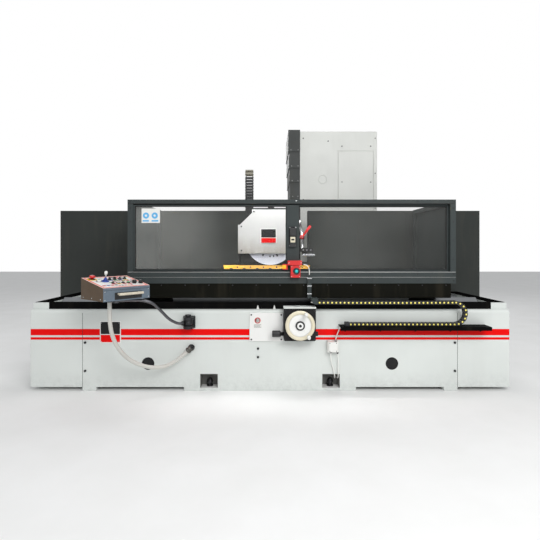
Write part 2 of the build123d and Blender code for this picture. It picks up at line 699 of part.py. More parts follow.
save("wheel_guard", wheel_guard())
save("guard_cover", guard_cover())
save("coolant_nozzle", coolant_nozzle())
save("valve_lever", valve_lever())
save("spindle", spindle())
save("grinding_wheel", grinding_wheel())
save("handwheel", handwheel())
save("clutch_knob", clutch_knob())
save("console_arm", console_arm())
save("console_box", console_box())
save("estop_button", estop_button())
save("start_button", start_button())
save("joystick", joystick())
save("push_buttons", push_buttons())
save("override_knob_left", override_knob(0))
save("override_knob_right", override_knob(1))
save("selector_switches", selector_switches())
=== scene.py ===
import bpy
import bmesh
import json
import math
from mathutils import Matrix, Vector


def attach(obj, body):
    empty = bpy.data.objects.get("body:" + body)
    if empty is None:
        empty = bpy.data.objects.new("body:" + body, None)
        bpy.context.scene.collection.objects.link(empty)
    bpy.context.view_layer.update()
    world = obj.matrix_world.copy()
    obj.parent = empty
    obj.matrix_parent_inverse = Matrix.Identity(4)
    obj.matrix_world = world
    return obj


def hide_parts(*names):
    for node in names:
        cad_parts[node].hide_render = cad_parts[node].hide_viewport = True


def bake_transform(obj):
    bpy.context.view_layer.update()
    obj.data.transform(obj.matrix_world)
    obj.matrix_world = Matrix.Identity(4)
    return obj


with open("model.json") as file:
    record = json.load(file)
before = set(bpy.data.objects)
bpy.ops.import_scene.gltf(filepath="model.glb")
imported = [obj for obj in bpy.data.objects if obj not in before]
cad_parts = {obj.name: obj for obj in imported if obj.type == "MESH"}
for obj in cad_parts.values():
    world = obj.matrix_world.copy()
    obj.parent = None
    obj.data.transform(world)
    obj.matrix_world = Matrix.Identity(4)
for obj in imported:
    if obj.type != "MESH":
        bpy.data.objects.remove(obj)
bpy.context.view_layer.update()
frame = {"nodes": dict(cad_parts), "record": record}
NODES = frame["nodes"]

# ------------------------------------------------------------------ camera
scene = bpy.context.scene
cam_data = bpy.data.cameras.new("camera")
cam_data.sensor_width = 36.0
cam_data.lens = 28.0
cam_data.shift_x = 0.0
cam_data.shift_y = -20.0 / 540.0
cam_data.clip_end = 60
cam = bpy.data.objects.new("camera", cam_data)
cam.location = (0.0, -3.86, 1.124)
cam.rotation_euler = (math.radians(90), 0, 0)
scene.collection.objects.link(cam)
scene.camera = cam


# ------------------------------------------------------------------ materials
class Nodes:
    """Small helper that wires a procedural material on the object's own coordinates."""

    def __init__(self, name):
        self.m = bpy.data.materials.new(name)
        self.m.use_nodes = True
        self.t = self.m.node_tree
        self.b = self.t.nodes["Principled BSDF"]
        self.co = self.t.nodes.new("ShaderNodeTexCoord").outputs["Object"]

    def new(self, kind, **vals):
        n = self.t.nodes.new(kind)
        for k, v in vals.items():
            setattr(n, k, v)
        return n

    def link(self, a, b):
        self.t.links.new(a, b)

    def noise(self, scale, detail=4, rough=0.55, stretch=None, seed=0.0):
        n = self.new("ShaderNodeTexNoise")
        n.inputs["Scale"].default_value = scale
        n.inputs["Detail"].default_value = detail
        n.inputs["Roughness"].default_value = rough
        src = self.co
        if stretch or seed:
            mp = self.new("ShaderNodeMapping")
            mp.inputs["Scale"].default_value = stretch or (1, 1, 1)
            mp.inputs["Location"].default_value = (seed, seed * 1.7, seed * 0.6)
            self.link(src, mp.inputs["Vector"])
            src = mp.outputs["Vector"]
        self.link(src, n.inputs["Vector"])
        return n.outputs["Fac"]

    def ramp(self, fac, stops):
        r = self.new("ShaderNodeValToRGB")
        while len(r.color_ramp.elements) > 1:
            r.color_ramp.elements.remove(r.color_ramp.elements[-1])
        r.color_ramp.elements[0].position = stops[0][0]
        r.color_ramp.elements[0].color = (*stops[0][1], 1) if len(stops[0][1]) == 3 else stops[0][1]
        for p, c in stops[1:]:
            e = r.color_ramp.elements.new(p)
            e.color = (*c, 1) if len(c) == 3 else c
        self.link(fac, r.inputs["Fac"])
        return r.outputs["Color"]

    def mix(self, fac, a, b, mode="MIX"):
        n = self.new("ShaderNodeMix", data_type="RGBA", blend_type=mode)
        for sock, v in ((n.inputs[0], fac), (n.inputs[6], a), (n.inputs[7], b)):
            if isinstance(v, (int, float)):
                sock.default_value = v
            elif isinstance(v, tuple):
                sock.default_value = (*v, 1) if len(v) == 3 else v
            else:
                self.link(v, sock)
        return n.outputs[2]

    def math(self, op, a, b=0.0, c=None):
        n = self.new("ShaderNodeMath", operation=op)
        for i, v in enumerate((a, b) if c is None else (a, b, c)):
            if isinstance(v, (int, float)):
                n.inputs[i].default_value = v
            else:
                self.link(v, n.inputs[i])
        return n.outputs[0]

    def axis(self, i):
        s = self.new("ShaderNodeSeparateXYZ")
        self.link(self.co, s.inputs[0])
        return s.outputs[i]

    def fade(self, i, lo, hi):
        """0 at lo, 1 at hi along an axis of the object."""
        n = self.new("ShaderNodeMapRange")
        n.inputs["From Min"].default_value = lo
        n.inputs["From Max"].default_value = hi
        self.link(self.axis(i), n.inputs["Value"])
        return n.outputs["Result"]

    def bump(self, height, strength=0.2, distance=0.001, bevel=0.0):
        n = self.new("ShaderNodeBump")
        n.inputs["Strength"].default_value = strength
        n.inputs["Distance"].default_value = distance
        self.link(height, n.inputs["Height"])
        if bevel:
            bv = self.new("ShaderNodeBevel", samples=4)
            bv.inputs["Radius"].default_value = bevel
            self.link(bv.outputs["Normal"], n.inputs["Normal"])
        self.link(n.outputs["Normal"], self.b.inputs["Normal"])

    def done(self, color=None, rough=None, metal=None, **const):
        if color is not None:
            if isinstance(color, tuple):
                self.b.inputs["Base Color"].default_value = (*color, 1)
            else:
                self.link(color, self.b.inputs["Base Color"])
        if rough is not None:
            if isinstance(rough, (int, float)):
                self.b.inputs["Roughness"].default_value = rough
            else:
                self.link(rough, self.b.inputs["Roughness"])
        if metal is not None:
            self.b.inputs["Metallic"].default_value = metal
        for k, v in const.items():
            self.b.inputs[k.replace("_", " ")].default_value = v
        return self.m


def scaled(c, k):
    return tuple(min(1.0, x * k) for x in c)


def paint(name, color, rough=0.42, grime=0.25, floor=0.0, chips=0.0, peel=0.12, bevel=0.003, warm=(0.36, 0.30, 0.20)):
    """Sprayed machine enamel: slight tone drift, handling grime, runs, orange peel, optional floor dirt and chips."""
    n = Nodes(name)
    drift = n.noise(1.3, 3)
    col = n.ramp(drift, [(0.3, scaled(color, 0.93)), (0.7, scaled(color, 1.04))])
    streak = n.noise(9, 5, 0.6, stretch=(1.0, 1.0, 0.12), seed=2.1)
    mask = n.ramp(streak, [(0.52, (0, 0, 0)), (0.78, (1, 1, 1))])
    col = n.mix(n.math("MULTIPLY", mask, grime), col, tuple(a * 0.55 + b * 0.25 for a, b in zip(color, warm)))
    if floor:
        low = n.math("SUBTRACT", 1.0, n.fade(2, 0.0, 0.16))
        spots = n.ramp(n.noise(22, 6, 0.7, seed=4.4), [(0.42, (0, 0, 0)), (0.72, (1, 1, 1))])
        col = n.mix(n.math("MULTIPLY", n.math("MULTIPLY", low, spots), floor), col, scaled(color, 0.38))
    if chips:
        ch = n.ramp(n.noise(60, 5, 0.65, seed=7.7), [(0.70, (0, 0, 0)), (0.715, (1, 1, 1))])
        col = n.mix(n.math("MULTIPLY", ch, chips), col, (0.18, 0.17, 0.16))
    r = n.ramp(n.noise(5, 4, seed=9.0), [(0.25, (rough * 0.82,) * 3), (0.8, (min(1, rough * 1.25),) * 3)])
    n.bump(n.noise(420, 3, 0.5), strength=peel, distance=0.0006, bevel=bevel)
    return n.done(col, r, 0.0, Specular_IOR_Level=0.12 if name == "stripe_red_film" else 0.06 if max(color) < 0.01 else 0.2 if max(color) < 0.1 else 0.4)


def metal(name, color, rough=0.3, grain=(1, 1, 1), scale=160, bevel=0.0015, stain=0.25):
    """Machined or blackened steel with directional tool marks and oil stains."""
    n = Nodes(name)
    g = n.noise(scale, 4, 0.6, stretch=grain)
    col = n.ramp(g, [(0.3, scaled(color, 0.85)), (0.7, scaled(color, 1.1))])
    oil = n.ramp(n.noise(7, 5, 0.6, seed=3.0), [(0.45, (0, 0, 0)), (0.75, (1, 1, 1))])
    col = n.mix(n.math("MULTIPLY", oil, stain), col, scaled(color, 0.45))
    r = n.ramp(g, [(0.2, (rough * 0.8,) * 3), (0.8, (min(1, rough * 1.35),) * 3)])
    n.bump(g, strength=0.12, distance=0.0004, bevel=bevel)
    return n.done(col, r, 1.0)


def plastic(name, color, rough=0.4, texture=0.25, scale=900, dust=0.12):
    """Moulded plastic with fine texture and settled dust."""
    n = Nodes(name)
    d = n.ramp(n.noise(18, 5, 0.6, seed=1.3), [(0.45, (0, 0, 0)), (0.8, (1, 1, 1))])
    col = n.mix(n.math("MULTIPLY", d, dust), color, tuple(0.6 * c + 0.16 for c in color))
    r = n.ramp(n.noise(40, 3), [(0.3, (rough * 0.85,) * 3), (0.7, (min(1, rough * 1.2),) * 3)])
    n.bump(n.noise(scale, 2), strength=texture, distance=0.0003, bevel=0.0008)
    return n.done(col, r, 0.0)


BED = (0.665, 0.695, 0.670)
M = {}
M["bed_paint"] = paint("bed_enamel", BED, 0.42, grime=0.08, floor=0.30, peel=0.10)
M["end_paint"] = M["bed_paint"]
M["column_paint"] = paint("column_enamel", (0.70, 0.71, 0.675), 0.44, grime=0.12)
M["white_paint"] = paint("white_enamel", (0.82, 0.82, 0.80), 0.38, grime=0.12)
M["stripe_red"] = paint("stripe_red_film", (0.80, 0.001, 0.001), 0.34, grime=0.06, peel=0.05, bevel=0.0004)
M["wall_paint"] = paint("wall_enamel", (0.036, 0.040, 0.037), 0.60, grime=0.18, peel=0.02)
M["frame_paint"] = paint("frame_enamel", (0.040, 0.049, 0.049), 0.50, grime=0.16)
M["trough_paint"] = paint("trough_enamel", (0.006, 0.006, 0.004), 0.55, grime=0.20)
M["black_sheet"] = paint("black_sheet_enamel", (0.0022, 0.0022, 0.0022), 0.7, grime=0.1)
M["dark_box_paint"] = paint("dark_box_enamel", (0.014, 0.014, 0.015), 0.45, grime=0.2, chips=0.3)
M["cover_steel"] = paint("way_cover_enamel", (0.060, 0.064, 0.062), 0.45, grime=0.3)
M["bright_steel"] = metal("turned_steel", (0.60, 0.61, 0.62), 0.25)
M["ground_iron"] = metal("ground_iron", (0.36, 0.37, 0.38), 0.34, grain=(0.05, 1, 1), scale=220)
M["dark_steel"] = metal("blackened_steel", (0.055, 0.055, 0.058), 0.42)
M["orange_paint"] = paint("orange_enamel", (1.0, 0.50, 0.015), 0.36, grime=0.10, chips=0.3)
M["red_plastic"] = plastic("red_plastic", (0.62, 0.018, 0.018), 0.35)
M["teal_plastic"] = plastic("teal_plastic", (0.02, 0.55, 0.58), 0.30)
M["black_plastic"] = plastic("black_plastic", (0.012, 0.012, 0.013), 0.42)
M["cream_plastic"] = plastic("cream_plastic", (0.72, 0.66, 0.50), 0.32, texture=0.1)
M["grey_plastic"] = plastic("ribbed_grey_plastic", (0.56, 0.55, 0.51), 0.42)
M["white_plastic"] = plastic("white_plastic", (0.78, 0.78, 0.75), 0.4)
M["console_paint"] = paint("console_enamel", (0.145, 0.185, 0.24), 0.40, grime=0.25, chips=0.3)
M["yellow_plastic"] = plastic("yellow_plastic", (0.80, 0.52, 0.01), 0.38)
M["blue_plastic"] = plastic("blue_plastic", (0.015, 0.05, 0.32), 0.38)
M["green_plastic"] = plastic("green_plastic", (0.02, 0.42, 0.12), 0.3)
M["brown_paint"] = paint("brown_enamel", (0.085, 0.055, 0.030), 0.45, grime=0.3)
M["light_blue_film"] = plastic("light_blue_film", (0.10, 0.42, 0.75), 0.35)
M["edge_metal"] = metal("edge_strip_alloy", (0.42, 0.43, 0.42), 0.42, grain=(0.05, 1, 1))
M["chain_cap_yellow"] = plastic("chain_cap_yellow", (0.93, 0.80, 0.16), 0.35, texture=0.1)
M["arm_steel"] = metal("swing_arm_steel", (0.14, 0.14, 0.15), 0.30, grain=(1, 1, 0.1), scale=90)
# dark enamel for the pocket liners: painted shade in the pocket recesses, with grime streaks and chips on top
M["pocket_grime"] = paint("pocket_shade_enamel", (0.16, 0.16, 0.15), 0.6, grime=0.6, chips=0.3)
M["collar_alloy"] = metal("collar_alloy", (0.16, 0.155, 0.14), 0.42)
M["rubber"] = plastic("gasket_rubber", (0.008, 0.008, 0.008), 0.65)


def pane_material():
    """Clear sheet with cloudy noise, and a painted reflection that makes it paler towards the ends of the machine,
    palest at the left end.
    """
    n = Nodes("polycarbonate")
    smear = n.noise(3.2, 5, 0.62, stretch=(1, 1, 0.45))
    r = n.ramp(smear, [(0.35, (0.03,) * 3), (0.75, (0.08,) * 3)])
    cloud = n.noise(1.5, 4, 0.6, stretch=(1, 1, 1.6), seed=2)
    col = n.ramp(cloud, [(0.3, (0.50, 0.51, 0.48)), (0.7, (0.86, 0.865, 0.83))])
    side = n.new("ShaderNodeMapRange")
    side.inputs["From Min"].default_value = -1.1
    side.inputs["From Max"].default_value = 1.5
    n.link(n.axis(0), side.inputs["Value"])
    # painted reflection: the pane's colour is paler towards both ends of the machine, palest at the left end
    painted_reflection = n.ramp(side.outputs["Result"], [(0.0, (1.0,) * 3), (0.10, (0.95,) * 3), (0.19, (0.62,) * 3), (0.28, (0.16,) * 3),
                                          (0.54, (0.14,) * 3), (0.66, (0.30,) * 3), (1.0, (0.22,) * 3)])
    col = n.mix(1.0, col, painted_reflection, "MULTIPLY")
    return n.done(col, r, 0.0, Alpha=0.12, Specular_IOR_Level=0.2)


M["pane"] = pane_material()


def abrasive():
    n = Nodes("bonded_abrasive")
    v = n.new("ShaderNodeTexVoronoi")
    v.inputs["Scale"].default_value = 520
    n.link(n.co, v.inputs["Vector"])
    col = n.ramp(n.noise(260, 4), [(0.3, (0.74, 0.75, 0.84)), (0.7, (0.88, 0.89, 0.95))])
    n.bump(v.outputs["Distance"], strength=0.5, distance=0.0008)
    return n.done(col, 0.85, 0.0)


M["abrasive"] = abrasive()

for s in frame["record"]["subparts"]:
    o = NODES[s["node"]]
    o.data.materials.clear()
    o.data.materials.append(M[s["material_slot"]])


# ------------------------------------------------------------------ mesh tools
def mm(*a):
    return Vector([x / 1000.0 for x in a])


def add_mesh(name, bm, mats, body, smooth=False):
    bmesh.ops.recalc_face_normals(bm, faces=bm.faces)
    me = bpy.data.meshes.new(name)
    bm.to_mesh(me)
    bm.free()
    for m in mats if isinstance(mats, (list, tuple)) else [mats]:
        me.materials.append(M[m] if isinstance(m, str) else m)
    o = bpy.data.objects.new(name, me)
    scene.collection.objects.link(o)
    if smooth:
        for p in me.polygons:
            p.use_smooth = True
    if body:
        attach(o, body)
    return o


def put_box(bm, x0, x1, y0, y1, z0, z1, bevel=1.0, mat=0, matrix=None):
    """A box in millimetres with its edges broken."""
    made = bmesh.ops.create_cube(bm, size=1.0)
    vs = made["verts"]
    for v in vs:
        v.co = Vector(((x0 + x1) / 2 + v.co.x * (x1 - x0), (y0 + y1) / 2 + v.co.y * (y1 - y0),
                       (z0 + z1) / 2 + v.co.z * (z1 - z0))) / 1000
    faces = list({f for v in vs for f in v.link_faces})
    for f in faces:
        f.material_index = mat
    if bevel:
        es = list({e for v in vs for e in v.link_edges})
        r = bmesh.ops.bevel(bm, geom=es, offset=bevel / 1000, segments=2, profile=0.6, affect="EDGES")
        for f in r["faces"]:
            f.material_index = mat
        vs = list({v for f in r["faces"] for v in f.verts} | {v for v in vs if v.is_valid})
        more = {v for f in bm.faces for v in f.verts if v in set(vs)}
        vs = list(more)
    if matrix is not None:
        bmesh.ops.transform(bm, matrix=matrix, verts=[v for v in vs if v.is_valid])
    return vs


def lathe(bm, profile, matrix, steps=40, mat=0, mats=None, smooth=True):
    """A turned shape: profile of (radius, height) in millimetres about the local Z of matrix (metres)."""
    rings = []
    for r, h in profile:
        if r < 1e-6:
            rings.append([bm.verts.new(matrix @ mm(0, 0, h))])
        else:
            rings.append([bm.verts.new(matrix @ mm(r * math.cos(a), r * math.sin(a), h))
                          for a in (2 * math.pi * i / steps for i in range(steps))])
    for k, (a, b) in enumerate(zip(rings, rings[1:])):
        for i in range(steps):
            j = (i + 1) % steps
            if len(a) == 1 and len(b) == 1:
                continue
            if len(a) == 1:
                f = bm.faces.new((a[0], b[i], b[j]))
            elif len(b) == 1:
                f = bm.faces.new((a[i], a[j], b[0]))
            else:
                f = bm.faces.new((a[i], a[j], b[j], b[i]))
            f.material_index = mats[k] if mats else mat
            f.smooth = smooth
    for ring in (rings[0], rings[-1]):
        if len(ring) > 1:
            f = bm.faces.new(ring)
            f.material_index = (mats[0] if ring is rings[0] else mats[-1]) if mats else mat
    return rings


def frame_at(origin, z_dir, x_dir=None):
    """Matrix whose local Z is z_dir; origin in metres."""
    z = Vector(z_dir).normalized()
    x = Vector(x_dir) if x_dir is not None else (Vector((1, 0, 0)) if abs(z.x) < 0.9 else Vector((0, 1, 0)))
    x = (x - z * x.dot(z)).normalized()
    y = z.cross(x)
    m = Matrix((x, y, z)).transposed().to_4x4()
    m.translation = Vector(origin)
    return m


FRONT = (0, -1, 0)


def at_front(x, y, z):
    return frame_at(mm(x, y, z), FRONT, (1, 0, 0))


def cap_screw(bm, x, y, z, r=6.0, h=4.0, mat=0, direction=FRONT, socket=True):
    m = frame_at(mm(x, y, z), direction)
    prof = [(r, 0), (r, h * 0.8), (r * 0.88, h)]
    if socket:
        prof += [(r * 0.5, h), (r * 0.5, h * 0.45), (0, h * 0.45)]
    else:
        prof += [(r * 0.5, h * 1.18), (0, h * 1.25)]
    lathe(bm, prof, m, steps=16, mat=mat, smooth=False)


def polyline_nurbs(name, points, radius, resolution=10):
    cu = bpy.data.curves.new(name, "CURVE")
    cu.dimensions = "3D"
    sp = cu.splines.new("NURBS")
    sp.points.add(len(points) - 1)
    for p, q in zip(sp.points, points):
        p.co = (q[0] / 1000, q[1] / 1000, q[2] / 1000, 1)
    sp.order_u = 3
    sp.use_endpoint_u = True
    cu.resolution_u = resolution
    cu.bevel_depth = radius / 1000
    cu.bevel_resolution = 6
    cu.use_fill_caps = True
    o = bpy.data.objects.new(name, cu)
    scene.collection.objects.link(o)
    return o


def route_points(points, resolution=24):
    """Points along the route's own smooth line, read from its spline."""
    o = polyline_nurbs("route_probe", points, 0.0, resolution)
    o.data.bevel_depth = 0
    me = bpy.data.meshes.new_from_object(o)
    out = [v.co.copy() for v in me.vertices]
    bpy.data.meshes.remove(me)
    cu = o.data
    bpy.data.objects.remove(o)
    bpy.data.curves.remove(cu)
    return out


def run_length(pts):
    return sum((b - a).length for a, b in zip(pts, pts[1:]))


def tube_mesh(bm, pts, radius_at, steps=20, mat=0, spacing=0.0015):
    """A tube along pts (metres) whose radius follows radius_at(distance), on frames that don't twist."""
    dist = [0.0]
    for a, b in zip(pts, pts[1:]):
        dist.append(dist[-1] + (b - a).length)
    total = dist[-1]
    n = max(8, int(total / spacing))
    line, k = [], 0
    for i in range(n + 1):
        d = total * i / n
        while k < len(dist) - 2 and dist[k + 1] < d:
            k += 1
        u = (d - dist[k]) / max(1e-9, dist[k + 1] - dist[k])
        line.append(pts[k].lerp(pts[k + 1], u))
    tang = [(line[min(i + 1, n)] - line[max(i - 1, 0)]).normalized() for i in range(n + 1)]
    x = Vector((0, 0, 1)).cross(tang[0])
    if x.length < 1e-4:
        x = Vector((1, 0, 0)).cross(tang[0])
    x.normalize()
    rings = []
    for i in range(n + 1):
        x = (x - tang[i] * x.dot(tang[i])).normalized()
        y = tang[i].cross(x)
        r = radius_at(total * i / n, total)
        rings.append([bm.verts.new(line[i] + x * (r * math.cos(a)) + y * (r * math.sin(a)))
                      for a in (2 * math.pi * j / steps for j in range(steps))])
    for a, b in zip(rings, rings[1:]):
        for i in range(steps):
            j = (i + 1) % steps
            f = bm.faces.new((a[i], a[j], b[j], b[i]))
            f.smooth = True
            f.material_index = mat
    for r in (rings[0], rings[-1]):
        bm.faces.new(r).material_index = mat
    return line


# ------------------------------------------------------------------ bed
def guard_cover_material():
    n = Nodes("guard_cover_enamel")
    base = n.ramp(n.noise(2.0, 4), [(0.3, (0.56, 0.56, 0.545)), (0.7, (0.62, 0.62, 0.61))])
    low = n.math("SUBTRACT", 1.0, n.fade(2, 1.10, 1.27))
    mist = n.ramp(n.noise(11, 6, 0.7, stretch=(1, 1, 0.35), seed=5), [(0.25, (0.25,) * 3), (0.7, (1,) * 3)])
    col = n.mix(n.math("MULTIPLY", n.math("MULTIPLY", low, mist), 0.85), base, (0.27, 0.235, 0.175))
    r = n.ramp(n.noise(6, 4, seed=2), [(0.3, (0.30,) * 3), (0.7, (0.5,) * 3)])
    n.bump(n.noise(420, 3), strength=0.10, distance=0.0006, bevel=0.003)
    return n.done(col, r, 0.0)


M["guard_cover_paint"] = guard_cover_material()
NODES["guard_cover"].data.materials.clear()
NODES["guard_cover"].data.materials.append(M["guard_cover_paint"])

# stripe bands, broken by the seams, the cover plate and the handwheel box
bm = bmesh.new()
for z0, z1 in ((442, 492), (407, 426)):
    for x0, x1 in ((-1914, -1501.5), (-1498.5, -164), (357, 1498.5), (1501.5, 1914)):
        put_box(bm, x0, x1, -501.4, -499.8, z0, z1, bevel=0.5)
add_mesh("stripe_bands", bm, "stripe_red", "bed")

# seam gaskets between the bed and its end covers
bm = bmesh.new()
for k in (-1, 1):
    put_box(bm, k * 1500 - 1.4, k * 1500 + 1.4, -500.5, -499, 30, 620, bevel=0.3)
add_mesh("end_cover_seams", bm, "rubber", "bed")

# plain plate where the machine carries its nameplate
bm = bmesh.new()
put_box(bm, -1360, -1192, -503.2, -499.9, 380, 556, bevel=1.6, mat=0)
put_box(bm, -1353, -1199, -504.2, -502.6, 452, 549, bevel=0.8, mat=1)
put_box(bm, -1353, -1199, -504.2, -502.6, 387, 446, bevel=0.8, mat=2)
for x in (-1346, -1206):
    for z in (394, 542):
        cap_screw(bm, x, -504, z, 3.2, 1.6, mat=3, socket=False)
add_mesh("front_plate", bm, ["white_paint", "dark_box_paint", "stripe_red", "bright_steel"], "bed")

# cover plate: screws, paper label with a plain ring
bm = bmesh.new()
for x in (-149, 90):
    for z in (607, 411):
        cap_screw(bm, x, -511.8, z, 6.5, 4.5, mat=0)
put_box(bm, -136, -62, -513.2, -511.9, 500, 596, bevel=0.4, mat=1)
ring = at_front(-99, -513.2, 562)
for r0, r1, m_ in ((24, 18, 2),):
    lathe(bm, [(r0, 0), (r0, 0.8), (r1, 0.8), (r1, 0)], ring, steps=48, mat=m_, smooth=False)
for i in range(3):
    put_box(bm, -128, -70 - 9 * (i % 2), -513.6, -513.1, 508 + 9 * i, 511 + 9 * i, bevel=0, mat=0)
add_mesh("cover_plate_details", bm, ["dark_steel", "white_plastic", "red_plastic"], "bed")

# two cone plugs on the bed's top edge
bm = bmesh.new()
for x in (-98, 35):
    lathe(bm, [(0, 0), (11, 0), (11, 6), (9, 8), (3.2, 30), (0, 31)], frame_at(mm(x, -474, 648), (0, 0, 1)), steps=24)
add_mesh("cone_plugs", bm, "white_plastic", "bed")

# bolts of the end covers and small blanking screws
bm = bmesh.new()
for k in (-1, 1):
    for z in (158, 384):
        cap_screw(bm, k * 1478, -505.8, z, 9.4, 2.5)
for z in (268, 336):
    cap_screw(bm, -96, -504.8, z, 9.2, 4.0)
add_mesh("bed_front_screws", bm, "dark_steel", "bed")

# dark rims and linings inside the lifting holes: painted shade in the holes
bm = bmesh.new()
for k in (-1, 1):
    for y, d in ((-500.2, 1),):
        m_ = frame_at(mm(k * 975, y, 216), (0, d, 0))
        lathe(bm, [(50, 0), (50, -0.8), (46.6, -0.8), (45.2, 2), (45.2, 40)], m_, steps=56, smooth=True)
add_mesh("lifting_hole_shade_liners", bm, "dark_box_paint", "bed")

# handwheel box: lid edge and screws
bm = bmesh.new()
put_box(bm, 106, 359, -602.5, -499, 668, 679.5, bevel=2.5, mat=0)
for x in (121, 344):
    for z in (430, 655):
        cap_screw(bm, x, -599.8, z, 6, 4, mat=1)
lathe(bm, [(46, 0), (46, 5), (42, 8), (30, 8), (30, 0)], at_front(232, -600, 542), steps=48, mat=1)
add_mesh("handwheel_box_trim", bm, ["bed_paint", "dark_steel"], "bed")


def ring_solid(bm, loop, matrix, steps=64, mat=0, smooth=True):
    """A closed outline of (radius, height) carried round the local Z."""
    rings = [[bm.verts.new(matrix @ mm(r * math.cos(a), r * math.sin(a), h)) for r, h in loop]
             for a in (2 * math.pi * i / steps for i in range(steps))]
    n = len(loop)
    for i in range(steps):
        a, b = rings[i], rings[(i + 1) % steps]
        for k in range(n):
            f = bm.faces.new((a[k], a[(k + 1) % n], b[(k + 1) % n], b[k]))
            f.material_index = mat
            f.smooth = smooth


# cross handwheel
hw = at_front(232, -600, 542)
bm = bmesh.new()
loop = [(100 + 15 * math.cos(a) * (1 if math.cos(a) > 0 else 0.98), 34 + 15.5 * math.sin(a))
        for a in (2 * math.pi * i / 20 for i in range(20))]
ring_solid(bm, loop, hw, 96, mat=0)
lathe(bm, [(88, 36), (86, 38), (78, 33), (60, 28), (40, 27), (31, 30)], hw, 72, mat=1)
lathe(bm, [(88, 30), (60, 22), (31, 22)], hw, 72, mat=1)
lathe(bm, [(36, 24), (36, 44), (34.5, 46), (26, 46)], hw, 64, mat=2)
for i in range(50):
    a = 2 * math.pi * i / 50
    mt = hw @ Matrix.Rotation(a, 4, "Z")
    put_box(bm, 35.8, 36.5, -0.35, 0.35, 37 if i % 5 else 32, 43.5, bevel=0, mat=1, matrix=mt)
lathe(bm, [(24.5, 2), (24.5, 50), (22.5, 53.5), (11, 54), (10.2, 53), (10.2, 44), (0, 44)], hw, 56,
      mats=[1, 1, 1, 2, 2, 2])
put_box(bm, -2.5, 2.5, 8.5, 12.5, 46, 54.3, bevel=0.3, mat=2, matrix=hw)
for dx, dz in ((42, 92), (62, -81)):
    g = at_front(232 + dx, -600, 542 + dz)
    lathe(bm, [(11, 44), (11, 50), (7, 52), (6, 70), (9, 72)], g, 28, mat=3)
    lathe(bm, [(8, 72), (13, 73.5), (15, 80), (15, 92), (12.6, 106), (11.5, 113), (8, 117.4), (0, 118)], g, 32, mat=4)
o = add_mesh("cross_handwheel", bm, ["cream_plastic", "white_paint", "black_plastic", "bright_steel", "white_plastic"],
             "handwheel")
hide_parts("handwheel")

# clutch knob: fluted grip
bm = bmesh.new()
ck = frame_at(mm(0, -562, 466), (1, 0, 0), (0, 1, 0))
prof = [(0, 16), (22, 16.5), (25.5, 20), (26, 30), (26, 70), (24.5, 80), (20, 84), (15, 86), (15, 108), (0, 108)]
steps = 72
rings = []
for r, h in prof:
    if r == 0:
        rings.append([bm.verts.new(ck @ mm(0, 0, h))])
        continue
    ring_v = []
    for i in range(steps):
        a = 2 * math.pi * i / steps
        rr = r * (1 - 0.045 * (0.5 + 0.5 * math.cos(12 * a))) if r > 22 else r
        ring_v.append(bm.verts.new(ck @ mm(rr * math.cos(a), rr * math.sin(a), h)))
    rings.append(ring_v)
for a, b in zip(rings, rings[1:]):
    for i in range(steps):
        j = (i + 1) % steps
        f = bm.faces.new((a[0], b[i], b[j])) if len(a) == 1 else bm.faces.new((a[i], a[j], b[0])) if len(b) == 1 \
            else bm.faces.new((a[i], a[j], b[j], b[i]))
        f.smooth = True
o = add_mesh("fluted_clutch_knob", bm, "black_plastic", "clutch_knob")
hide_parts("clutch_knob")

# junction box lid and screws, lead glands
bm = bmesh.new()
put_box(bm, 466, 527, -560.5, -555.8, 323, 396, bevel=1.4, mat=0)
for x in (471, 522):
    for z in (328, 391):
        cap_screw(bm, x, -560, z, 3.2, 1.8, mat=1)
for x, y, z, d in ((482, -530, 305, -1), (535, -530, 305, -1), (520, -528, 410, 1)):
    g = frame_at(mm(x, y, z - d * 12), (0, 0, d))
    lathe(bm, [(9.5, 0), (9.5, 7), (7.5, 9), (6.5, 13), (4.6, 15.5)], g, 24, mat=2)
add_mesh("junction_box_lid", bm, ["white_plastic", "dark_steel", "black_plastic"], "bed")

# levelling pockets: white strip on the pocket floor, a painted highlight where light falls in, and the screw nut
bm = bmesh.new()
for k in (-1, 1):
    x = k * 488
    nut = frame_at(mm(x, -440, 32), (0, 0, 1))
    lathe(bm, [(27, -12), (27, -9), (25, 0), (0, 0)], nut, 6, mat=0, smooth=False)
    # white strip across the pocket floor: painted highlight, lighter than the bed paint
    put_box(bm, x - 64, x + 64, -498, -404, 19.6, 21.2, bevel=0.4, mat=1)
    for i in range(8):
        lathe(bm, [(15.6, 18 + 4 * i), (16.4, 20 + 4 * i), (15.6, 22 + 4 * i)], nut, 20, mat=0)
add_mesh("levelling_pocket_details", bm, ["dark_steel", "white_paint"], "bed")


# dark sheets lining the two levelling pockets: painted shade inside the recesses
bm = bmesh.new()
for k in (-1, 1):
    xs = sorted((k * 418, k * 558))
    put_box(bm, xs[0] + 0.3, xs[1] - 0.3, -400.6, -400.1, 20.5, 131.7, bevel=0, mat=0)
    put_box(bm, xs[0] + 0.2, xs[0] + 1.0, -499, -400.6, 20.5, 131.7, bevel=0, mat=0)
    put_box(bm, xs[1] - 1.0, xs[1] - 0.2, -499, -400.6, 20.5, 131.7, bevel=0, mat=0)
    put_box(bm, xs[0] + 1, xs[1] - 1, -499, -400.6, 130.9, 131.8, bevel=0, mat=0)
add_mesh("levelling_pocket_shade_liners", bm, "pocket_grime", "bed")

